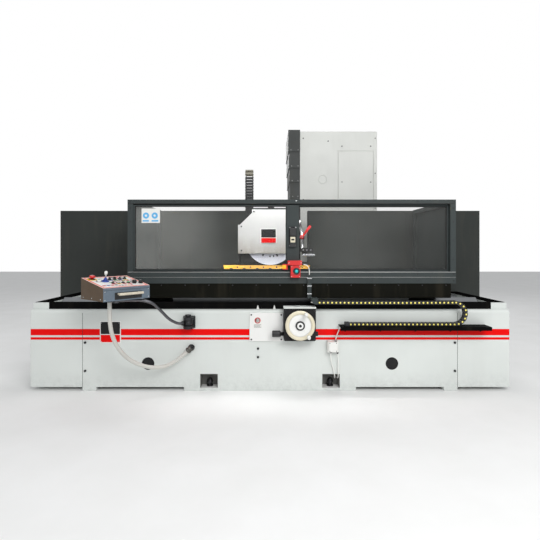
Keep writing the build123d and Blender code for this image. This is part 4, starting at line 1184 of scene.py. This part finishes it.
bm = bmesh.new()
put_box(bm, 278.2, 386, -86, 60, 1106, 1142, bevel=2.0, mat=0)
put_box(bm, 296, 340, -60, 40, 1086, 1107, bevel=1.5, mat=0)
put_box(bm, 290, 405, -78, -50, 1068, 1088, bevel=3.0, mat=1)
for x in (298, 330, 366):
    cap_screw(bm, x, -85.8, 1124, 7, 4, mat=1)
g = frame_at(mm(292, -71, 1140), (0, 0, 1))
lathe(bm, [(15, 0), (15, 8), (11, 10), (11, 66), (14.5, 68), (14.5, 84), (0, 84)], g, 32, mat=1)
put_box(bm, 268, 310, -90, -52, 1221, 1259, bevel=4.0, mat=2)
d = Vector((-26, 0, 142)).normalized()
g = frame_at(mm(290, -71, 1250), d)
lathe(bm, [(0, 0), (15, 0), (15, 14), (11, 16), (11, 118), (13.5, 119), (13.5, 128), (11, 130), (9, 150), (6.5, 150), (6.5, 120),
           (0, 120)], g, 32, mat=1)
lathe(bm, [(9, 0), (9, 8), (0, 8)], at_front(286, -90, 1240), 24, mat=1)
o = add_mesh("coolant_valve_set", bm, ["dark_box_paint", "bright_steel", "dark_steel"], "head")
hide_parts("coolant_nozzle")
bm = bmesh.new()
lathe(bm, [(0, 8.4), (17.6, 8.4), (17.6, 20), (15.5, 22.4), (0, 22.4)], at_front(286, -90, 1240), 32, mat=0)
lathe(bm, [(0, 22), (6.5, 22), (6.5, 23), (0, 23)], at_front(286, -90, 1240), 6, mat=1, smooth=False)
axis = Vector((71, 0, 95)).normalized()
g = frame_at(mm(286, -108.5, 1240), axis, (0, 1, 0))
rows = []
for dist, half, thick in ((10, 12, 4.4), (30, 9.5, 4.4), (70, 10.5, 4.4), (112, 12.5, 4.6), (122, 11, 4.4), (126, 7, 3.4)):
    rows.append([bm.verts.new(g @ mm(a * thick, b * half, dist)) for a, b in ((-1, -1), (1, -1), (1, 1), (-1, 1))])
for a, b in zip(rows, rows[1:]):
    for i in range(4):
        j = (i + 1) % 4
        bm.faces.new((a[i], a[j], b[j], b[i]))
bm.faces.new(rows[0])
bm.faces.new(rows[-1])
o = add_mesh("valve_lever_blade", bm, ["red_plastic", "bright_steel"], "valve_lever")
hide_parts("valve_lever")


# ------------------------------------------------------------------ column and its covers
LEFT, RIGHT, BACK, TOP = (-1, 0, 0), (1, 0, 0), (0, 1, 0), (0, 0, 1)


def louvre(bm, x0, x1, y, z, n, pitch, mat, side=1):
    """Pressed slots with a hood, on a face that looks along Y."""
    for k in range(n):
        z0 = z + pitch * k
        put_box(bm, x0, x1, min(y, y + side * 5), max(y, y + side * 5), z0 + pitch * 0.45, z0 + pitch * 0.62, bevel=1.2, mat=mat)
        put_box(bm, x0 + 4, x1 - 4, min(y, y + side * 1.2), max(y, y + side * 1.2), z0 + pitch * 0.12, z0 + pitch * 0.42,
                bevel=0.3, mat=mat + 1)


bm = bmesh.new()
# rear door in two leaves, hinges, handle, vents
put_box(bm, 383, 1183, 1839.6, 1846, 820, 1600, bevel=2.5, mat=0)
put_box(bm, 383, 1183, 1839.6, 1846, 1612, 2420, bevel=2.5, mat=0)
for z in (900, 1210, 1520, 1700, 2010, 2330):
    lathe(bm, [(0, -34), (9, -34), (9, 34), (0, 34)], frame_at(mm(389, 1849, z), TOP), 16, mat=1)
    put_box(bm, 396, 438, 1845, 1849, z - 28, z + 28, bevel=1.0, mat=1)
for z in (1180, 1980):
    put_box(bm, 1112, 1152, 1845, 1851, z, z + 120, bevel=2.0, mat=2)
    lathe(bm, [(0, 0), (9, 0), (9, 12), (7, 14), (0, 14)], frame_at(mm(1132, 1850, z + 24), BACK), 24, mat=1)
    put_box(bm, 1124, 1140, 1850, 1866, z + 44, z + 104, bevel=4.0, mat=2)
louvre(bm, 560, 1000, 1846, 2180, 7, 26, 2)
louvre(bm, 560, 1000, 1846, 880, 7, 26, 2)
for x in (400, 783, 1166):
    for z in (838, 1582, 1630, 2402):
        cap_screw(bm, x, 1845.8, z, 6.5, 4, mat=1, direction=BACK)
add_mesh("column_rear_doors", bm, ["column_paint", "dark_steel", "dark_box_paint", "rubber"], "column")

bm = bmesh.new()
# front access panels: screws along the joints, rim of the lifting hole, foot flange bolts
for x, z in ((664, 2368), (822, 2310), (1150, 2310), (822, 1500), (1150, 1500), (822, 1900), (1150, 1900), (1202, 2400),
             (1202, 2000), (1202, 1600), (380, 2400), (380, 1700)):
    cap_screw(bm, x, 940.2, z, 7.0, 4.0, mat=1)
lathe(bm, [(50, -0.2), (50, 1.6), (46.8, 1.6), (45.2, -1), (45.2, -38)], frame_at(mm(600, 940, 1930), FRONT), 56, mat=0)
put_box(bm, 784, 1177, 937.6, 940.4, 1540, 2246, bevel=1.2, mat=0)
put_box(bm, 1186, 1219, 938.2, 940.4, 1540, 2470, bevel=0.8, mat=0)
for k in range(9):
    cap_screw(bm, 400 + 95 * k, 939.6, 792, 10, 9, mat=1)
    cap_screw(bm, 400 + 95 * k, 1840.4, 792, 10, 9, mat=1, direction=BACK)
for k in range(8):
    cap_screw(bm, 1223.4, 1000 + 110 * k, 792, 10, 9, mat=1, direction=RIGHT)
# joint strip between the column and its saddle
for y0, y1 in ((938.2, 940.6), (1839.4, 1841.8)):
    put_box(bm, 343, 1223, y0, y1, 757, 763, bevel=0.6, mat=2)
put_box(bm, 1222.4, 1224.8, 940, 1840, 757, 763, bevel=0.6, mat=2)
# right side: panel with vents
put_box(bm, 1222.6, 1227, 1000, 1780, 860, 1640, bevel=2.0, mat=0)
put_box(bm, 1222.6, 1227, 1000, 1780, 1660, 2420, bevel=2.0, mat=0)
for y in (1020, 1390, 1760):
    for z in (880, 1620, 1680, 2400):
        cap_screw(bm, 1226.8, y, z, 6.5, 4, mat=1, direction=RIGHT)
for k in range(8):
    put_box(bm, 1226, 1231.5, 1200, 1580, 2160 + 24 * k, 2165 + 24 * k, bevel=1.2, mat=0)
    put_box(bm, 1226.4, 1227.6, 1204, 1576, 2151 + 24 * k, 2159 + 24 * k, bevel=0.2, mat=2)
# seams of the top plate
put_box(bm, 353, 1213, 950, 1830, 2476, 2481, bevel=1.5, mat=0)
for x in (380, 783, 1186):
    for y in (975, 1390, 1805):
        cap_screw(bm, x, y, 2480.8, 8, 5, mat=1, direction=TOP)
add_mesh("column_details", bm, ["column_paint", "dark_steel", "rubber"], "column")

bm = bmesh.new()
# two lifting eyes on the column
for x, y in ((480, 1100), (1086, 1680)):
    lathe(bm, [(0, 0), (17, 0), (17, 1.2), (13, 2.8), (9, 3.6), (0, 3.6)], frame_at(mm(x, y, 2481), TOP), 24)
    lathe(bm, [(8, 3), (8, 9), (0, 9)], frame_at(mm(x, y, 2481), TOP), 6, smooth=False)
add_mesh("lifting_eye_plugs", bm, "dark_steel", "column")

for i, (body, z0, z1, extra) in enumerate((("column", 2245, 2495, ()), ("upper_cover", 2061, 2275, ()),
                                            ("lower_cover", 1895, 2090, ()), ("head", 1500, 1915, (1716,)))):
    bm = bmesh.new()
    g = 7 * i
    x0, y0, y1 = 209 + g, 930 + g, 1630 - g
    for z in (z0,) + extra:
        put_box(bm, x0 - 1.9, 340, y0 - 1.9, y0 + 0.4, z, z + 9, bevel=0.6, mat=0)
        put_box(bm, x0 - 1.9, 340, y1 - 0.4, y1 + 1.9, z, z + 9, bevel=0.6, mat=0)
        put_box(bm, x0 - 1.9, x0 + 0.4, y0 + 0.4, y1 - 0.4, z, z + 9, bevel=0.6, mat=0)
        for y in (y0 + 60, (y0 + y1) / 2, y1 - 60):
            lathe(bm, [(4.5, 0), (4.5, 0.6), (3.4, 1.1), (0, 1.2)], frame_at(mm(x0 - 0.2, y, z + 22), LEFT), 14, mat=1)
        for x in (x0 + 30, 320):
            lathe(bm, [(4.5, 0), (4.5, 0.6), (3.4, 1.1), (0, 1.2)], frame_at(mm(x, y0 + 0.2, z + 22), FRONT), 14, mat=1)
    add_mesh("cover_segment_%d_lips" % (i + 1), bm, ["cover_steel", "edge_metal"], body)

# ------------------------------------------------------------------ splash wall
bm = bmesh.new()
for x in (-1405, -815, 897, 1405):
    put_box(bm, x - 14, x + 14, 446.4, 448.6, 640, 1512, bevel=0.8, mat=0)
    for z in range(700, 1500, 130):
        lathe(bm, [(5.5, 0), (5.5, 1.0), (4, 1.8), (0, 2)], frame_at(mm(x, 446.6, z), FRONT), 14, mat=1)
        lathe(bm, [(7, 0), (7, 3.0), (5, 4.2), (0, 4.4)], frame_at(mm(x, 477.6, z), BACK), 6, mat=1, smooth=False)
for x0, x1 in ((-2149, -244), (389, 2149)):
    put_box(bm, x0, x1, 446.2, 479.6, 1515, 1526, bevel=1.6, mat=0)
    n = int((x1 - x0) / 240)
    for k in range(n):
        x = x0 + (k + 0.5) * (x1 - x0) / n
        lathe(bm, [(8, 0), (8, 3.4), (6, 4.6), (0, 5)], frame_at(mm(x, 447.8, 634), FRONT), 6, mat=1, smooth=False)
put_box(bm, -252, -238, 445.6, 480.4, 1003, 1522, bevel=1.6, mat=2)
put_box(bm, 383, 397, 445.6, 480.4, 1003, 1522, bevel=1.6, mat=2)
put_box(bm, -250, 395, 445.6, 480.4, 992, 1003, bevel=1.6, mat=2)
add_mesh("splash_wall_details", bm, ["wall_paint", "dark_steel", "rubber"], "bed")

# ------------------------------------------------------------------ wheelhead
bm = bmesh.new()
mc = mm(0, 1600, 1221)
for k in range(28):
    a = 2 * math.pi * k / 28
    if abs(math.sin(a)) > 0.85 and math.sin(a) > 0:
        continue
    g = frame_at(mc, BACK, (1, 0, 0)) @ Matrix.Rotation(a, 4, "Z")
    put_box(bm, 128, 146, -2.2, 2.2, 22, 268, bevel=0.8, mat=0, matrix=g)
gm = frame_at(mc, BACK, (1, 0, 0))
lathe(bm, [(129, 0), (148, 0), (148, 16), (131, 20), (129.5, 20)], gm, 64, mat=0)
lathe(bm, [(137, 278), (147, 278), (149, 284), (149, 306), (142, 316), (110, 320), (110, 314), (40, 314), (40, 306)], gm, 64, mat=1)
for k in range(9):
    r = 42 + 8 * k
    lathe(bm, [(r, 315.6), (r + 2.4, 315.6), (r + 2.4, 317.6), (r, 317.6)], gm, 48, mat=1)
for k in range(12):
    g = gm @ Matrix.Rotation(2 * math.pi * k / 12, 4, "Z")
    put_box(bm, 38, 112, -1.6, 1.6, 316.5, 319.5, bevel=0.5, mat=1, matrix=g)
lathe(bm, [(0, 314), (38, 314), (38, 319), (34, 321), (0, 321)], gm, 40, mat=1)
put_box(bm, -64, 64, 1636, 1784, 1396, 1406, bevel=2.0, mat=1)
for x in (-52, 52):
    for y in (1650, 1770):
        cap_screw(bm, x, y, 1405.6, 5, 3.4, mat=2, direction=TOP)
lathe(bm, [(14, 0), (14, 14), (11, 18), (11, 30), (0, 30)], frame_at(mm(-60, 1680, 1378), LEFT), 24, mat=2)
lathe(bm, [(14, 0), (14, 14), (11, 18), (11, 30), (0, 30)], frame_at(mm(-60, 1740, 1378), LEFT), 24, mat=2)
add_mesh("spindle_motor_details", bm, ["column_paint", "dark_box_paint", "dark_steel"], "head")

bm = bmesh.new()
# side covers of the ram, oil sight glass, top covers
for y0, y1 in ((200, 700), (730, 840), (910, 1560)):
    put_box(bm, -128.5, -124.6, y0, y1, 1112, 1348, bevel=1.6, mat=0)
    for y in (y0 + 16, y1 - 16):
        for z in (1126, 1334):
            cap_screw(bm, -128.2, y, z, 5.5, 3.4, mat=1, direction=LEFT)
lathe(bm, [(20, 0), (20, 5), (17, 7), (14, 7), (14, 4), (0, 4)], frame_at(mm(-128.4, 450, 1230), LEFT), 32, mat=1)
lathe(bm, [(0, 4), (13.6, 4), (13.6, 5), (0, 5.6)], frame_at(mm(-128.4, 450, 1230), LEFT), 32, mat=2)
for y0, y1 in ((180, 760), (800, 1400)):
    put_box(bm, -60, 180, y0, y1, 1399, 1403, bevel=1.4, mat=0)
    for x in (-44, 164):
        for y in (y0 + 20, y1 - 20):
            cap_screw(bm, x, y, 1402.8, 6, 3.6, mat=1, direction=TOP)
# slideway wipers on the carriage
for z0, z1 in ((1500, 1508), (892, 900)):
    put_box(bm, 215, 312, 976, 1584, z0, z1, bevel=1.5, mat=3)
for y0, y1 in ((972, 980.4), (1579.6, 1588)):
    put_box(bm, 222, 312, y0, y1, 930, 1470, bevel=2, mat=0)
    for z in (960, 1200, 1440):
        cap_screw(bm, 267, y0 if y0 < 1000 else y1, z, 7, 4, mat=1, direction=FRONT if y0 < 1000 else BACK)
add_mesh("wheelhead_details", bm, ["column_paint", "dark_steel", "yellow_plastic", "rubber"], "head")

# screws and a lifting tab on the outside of the wheel guard
bm = bmesh.new()
for y in (10, 60, 100):
    for z in (1080, 1200, 1320):
        cap_screw(bm, -293.2, y, z, 5, 3, mat=0, direction=LEFT)
        cap_screw(bm, 278.2, y, z + 60, 5, 3, mat=0, direction=RIGHT)
    for x in (-120, 60, 240):
        cap_screw(bm, x, y, 1508.2, 5, 3, mat=0, direction=TOP)
put_box(bm, -20, 40, 70, 82, 1507, 1536, bevel=5, mat=1)
for x in (-250, 0, 235):
    put_box(bm, x, x + 26, 80, 106, 1104, 1130, bevel=3, mat=1)
add_mesh("wheel_guard_details", bm, ["bright_steel", "dark_box_paint"], "head")

# ------------------------------------------------------------------ pleated covers over the cross ways
def bellows(name, y0, y1):
    bm = bmesh.new()
    n = 22
    w0, w1, z0, z1 = 392, 1208, 604, 672
    rows = []
    for i in range(2 * n + 1):
        y = y0 + (y1 - y0) * i / (2 * n)
        k = 0.0 if i % 2 == 0 else 15.0
        prof = [(w0 + k, z0), (w0 + k, z1 - 20 - k), (w0 + 20 + k, z1 - k), (w1 - 20 - k, z1 - k), (w1 - k, z1 - 20 - k),
                (w1 - k, z0)]
        inner = [(x + (2.5 if x < 800 else -2.5), min(z, z1 - k - 2.5)) for x, z in prof[::-1]]
        rows.append([bm.verts.new(mm(x, y, z)) for x, z in prof + inner])
    m = len(rows[0])
    for a, b in zip(rows, rows[1:]):
        for i in range(m):
            j = (i + 1) % m
            bm.faces.new((a[i], a[j], b[j], b[i]))
    bm.faces.new(rows[0])
    bm.faces.new(rows[-1])
    o = add_mesh(name, bm, "bellows_cloth", None)
    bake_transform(o)
    return o


def bellows_material():
    n = Nodes("coated_bellows_cloth")
    weave = n.new("ShaderNodeTexWave", wave_type="BANDS", bands_direction="X")
    weave.inputs["Scale"].default_value = 180
    n.link(n.co, weave.inputs["Vector"])
    dust = n.ramp(n.noise(14, 5, 0.6), [(0.4, (0.008,) * 3), (0.75, (0.032,) * 3)])
    r = n.ramp(n.noise(30, 3), [(0.3, (0.5,) * 3), (0.7, (0.68,) * 3)])
    n.bump(weave.outputs["Fac"], strength=0.2, distance=0.0004)
    return n.done(dust, r, 0.0, Specular_IOR_Level=0.25)


M["bellows_cloth"] = bellows_material()
bellows("cross_bellows_rear", 1841, 2282)
bellows("cross_bellows_front", 480, 938)

# ------------------------------------------------------------------ bed: back, ends and rear bed
bm = bmesh.new()
for k in (-1, 1):
    xo = k * 1916
    a, b = sorted((xo - k * 0.4, xo + k * 4))
    put_box(bm, a, b, -430, 370, 90, 560, bevel=2.0, mat=0)
    for y in (-412, -30, 352):
        for z in (108, 542):
            cap_screw(bm, xo + k * 3.8, y, z, 6.5, 4, mat=1, direction=(k, 0, 0))
    for i in range(8):
        c, d = sorted((xo + k * 3.6, xo + k * 9))
        put_box(bm, c, d, -250, 190, 392 + 16 * i, 397 + 16 * i, bevel=1.2, mat=0)
        c, d = sorted((xo + k * 3.8, xo + k * 4.6))
        put_box(bm, c, d, -246, 186, 385 + 16 * i, 391 + 16 * i, bevel=0.2, mat=2)
    c, d = sorted((xo + k * 3.8, xo + k * 26))
    for y in (-90, 30):
        put_box(bm, c, d, y - 6, y + 6, 214, 226, bevel=2, mat=1)
    c, d = sorted((xo + k * 18, xo + k * 28))
    put_box(bm, c, d, -96, 36, 213, 227, bevel=4, mat=1)
for x0, x1 in ((-1860, -1540), (-1440, -900), (-860, -320), (-280, 160), (1420, 1490), (1540, 1860)):
    put_box(bm, x0, x1, 439.6, 444, 120, 540, bevel=2.0, mat=0)
    for x in (x0 + 16, x1 - 16):
        for z in (138, 522):
            cap_screw(bm, x, 443.8, z, 6.5, 4, mat=1, direction=BACK)
for x0, x1 in ((-1440, -900), (-860, -320)):
    for i in range(6):
        put_box(bm, x0 + 140, x1 - 140, 443.6, 449, 392 + 18 * i, 397 + 18 * i, bevel=1.2, mat=0)
        put_box(bm, x0 + 144, x1 - 144, 443.6, 444.8, 384 + 18 * i, 391 + 18 * i, bevel=0.2, mat=2)
for x in (-1500, 1500):
    put_box(bm, x - 1.4, x + 1.4, 439, 440.8, 30, 610, bevel=0.3, mat=2)
add_mesh("bed_panels", bm, ["bed_paint", "dark_steel", "rubber"], "bed")

bm = bmesh.new()
for x, d in ((200, -1), (1366, 1)):
    for y0, y1 in ((560, 1120), (1180, 1700), (1760, 2240)):
        a, b = sorted((x - d * 0.4, x + d * 4))
        put_box(bm, a, b, y0, y1, 120, 500, bevel=2.0, mat=0)
        for y in (y0 + 16, y1 - 16):
            for z in (138, 482):
                cap_screw(bm, x + d * 3.8, y, z, 6.5, 4, mat=1, direction=(d, 0, 0))
    for y in (620, 1140, 1720, 2200):
        a, b = sorted((x, x + d * 66))
        put_box(bm, a, b, y - 38, y + 38, 0, 34, bevel=3.0, mat=0)
        lathe(bm, [(24, 34), (24, 40), (17, 40), (17, 64), (13, 66), (0, 66)], frame_at(mm(x + d * 38, y, 0), TOP), 6, mat=1,
              smooth=False)
put_box(bm, 260, 720, 2299.6, 2304, 120, 500, bevel=2.0, mat=0)
put_box(bm, 880, 1306, 2299.6, 2304, 120, 500, bevel=2.0, mat=0)
for x in (276, 704, 896, 1290):
    for z in (138, 482):
        cap_screw(bm, x, 2303.8, z, 6.5, 4, mat=1, direction=BACK)
for x0, x1 in ((204, 388), (1212, 1362)):
    put_box(bm, x0, x1, 484, 2290, 599.6, 603.4, bevel=1.2, mat=3)
    for y in (520, 960, 1400, 1840, 2250):
        cap_screw(bm, (x0 + x1) / 2, y, 603.2, 6.5, 4, mat=1, direction=TOP)
add_mesh("rear_bed_details", bm, ["bed_paint", "dark_steel", "rubber", "cover_steel"], "bed")

# cross feed motor: ribs, cowl, connector
bm = bmesh.new()
gm = frame_at(mm(800, 2300, 622), BACK, (1, 0, 0))
for k in range(20):
    g = gm @ Matrix.Rotation(2 * math.pi * k / 20, 4, "Z")
    if 0.75 < math.sin(2 * math.pi * k / 20 + 0) or False:
        continue
    put_box(bm, 66, 76, -1.8, 1.8, 22, 150, bevel=0.6, mat=0, matrix=g)
lathe(bm, [(67, 152), (76, 152), (77, 156), (77, 174), (70, 179), (20, 179), (20, 174)], gm, 48, mat=0)
for x in (736, 864):
    for z in (558, 686):
        cap_screw(bm, x, 2316, z, 6, 5, mat=1, direction=BACK)
lathe(bm, [(15, 0), (15, 12), (12, 16), (12, 22), (0, 22)], frame_at(mm(800, 2415, 716), TOP), 24, mat=1)
add_mesh("cross_feed_motor_details", bm, ["dark_box_paint", "bright_steel"], "bed")

# vertical drive motor and screw support
bm = bmesh.new()
gm = frame_at(mm(264, 1280, 780), TOP, (1, 0, 0))
for k in range(16):
    g = gm @ Matrix.Rotation(2 * math.pi * k / 16, 4, "Z")
    put_box(bm, 41, 48, -1.5, 1.5, 6, 96, bevel=0.5, mat=0, matrix=g)
lathe(bm, [(46, 98), (52, 98), (52, 106), (24, 108), (20, 108)], gm, 32, mat=1)
for x, y in ((250, 1256), (250, 1304), (330, 1256), (330, 1304)):
    cap_screw(bm, x, y, 2470, 6, 4, mat=1, direction=TOP)
add_mesh("vertical_drive_details", bm, ["dark_box_paint", "dark_steel"], "column")

# ------------------------------------------------------------------ enclosure sides and table ends
bm = bmesh.new()
for x, d in ((-1140, -1), (1488, 1)):
    for y0, y1 in ((-420, -20), (20, 410)):
        a, b = sorted((x - d * 0.4, x + d * 2.4))
        put_box(bm, a, b, y0, y1, 890, 1494, bevel=1.4, mat=0)
    for y in (-430, 0, 420):
        for z in (900, 1050, 1200, 1350, 1490):
            cap_screw(bm, x + d * 0.2, y, z, 5, 3, mat=1, direction=(d, 0, 0), socket=False)
    a, b = sorted((x, x + d * 14))
    put_box(bm, a, b, -60, -50, 1150, 1290, bevel=3, mat=2)
    put_box(bm, a, b, 50, 60, 1150, 1290, bevel=3, mat=2)
    put_box(bm, *sorted((x + d * 10, x + d * 18)), -60, 60, 1214, 1226, bevel=3, mat=2)
add_mesh("enclosure_side_details", bm, ["frame_paint", "dark_steel", "black_plastic"], "table")

# ------------------------------------------------------------------ floor and light
def floor_material():
    n = Nodes("pale_floor")
    col = n.ramp(n.noise(2.5, 5), [(0.3, (0.83, 0.83, 0.82)), (0.7, (0.87, 0.87, 0.865))])
    n.bump(n.noise(60, 4), strength=0.05, distance=0.001)
    return n.done(col, 0.65, 0.0)


bm = bmesh.new()
bmesh.ops.create_grid(bm, x_segments=2, y_segments=2, size=14.0)
me = bpy.data.meshes.new("floor")
bm.to_mesh(me)
bm.free()
me.materials.append(floor_material())
floor = bpy.data.objects.new("floor", me)
floor.location = (0, 4, -0.0005)
scene.collection.objects.link(floor)

world = bpy.data.worlds.new("studio")
world.use_nodes = True
wt = world.node_tree
seen = wt.nodes["Background"]
seen.inputs["Color"].default_value = (1, 1, 1, 1)
seen.inputs["Strength"].default_value = 1.0
soft = wt.nodes.new("ShaderNodeBackground")
soft.inputs["Color"].default_value = (0.97, 0.985, 1.0, 1)
soft.inputs["Strength"].default_value = 0.54
pick = wt.nodes.new("ShaderNodeMixShader")
path = wt.nodes.new("ShaderNodeLightPath")
wt.links.new(path.outputs["Is Camera Ray"], pick.inputs[0])
wt.links.new(soft.outputs[0], pick.inputs[1])
wt.links.new(seen.outputs[0], pick.inputs[2])
wt.links.new(pick.outputs[0], wt.nodes["World Output"].inputs["Surface"])
scene.world = world
scene.view_settings.view_transform = "Standard"


def area(name, loc, aim, size, power, color=(1, 1, 1)):
    d = bpy.data.lights.new(name, "AREA")
    d.shape = "RECTANGLE"
    d.size, d.size_y = size
    d.energy = power
    d.color = color
    o = bpy.data.objects.new(name, d)
    o.location = loc
    o.rotation_euler = (Vector(aim) - Vector(loc)).to_track_quat("-Z", "Y").to_euler()
    o.visible_camera = False
    scene.collection.objects.link(o)
    return o


area("key", (1.6, -4.6, 3.2), (0.3, 0, 0.8), (2.4, 2.0), 140)
area("fill", (-3.4, -4.6, 2.6), (-0.3, 0, 0.7), (2.6, 2.2), 22)
inside = area("inside", (0.0, -0.42, 2.2), (0.0, -0.07, 1.1), (1.8, 0.25), 12)
inside.data.spread = math.radians(75)
low = area("low", (-0.12, -0.36, 0.985), (-0.12, 0.12, 0.93), (0.9, 0.04), 0.45)
low.data.spread = math.radians(50)
area("top", (0, 0.6, 5.6), (0, 0.4, 0), (5.0, 3.0), 60)
area("back", (0.5, 6.5, 4.0), (0.3, 1.0, 1.2), (4.0, 2.0), 110)
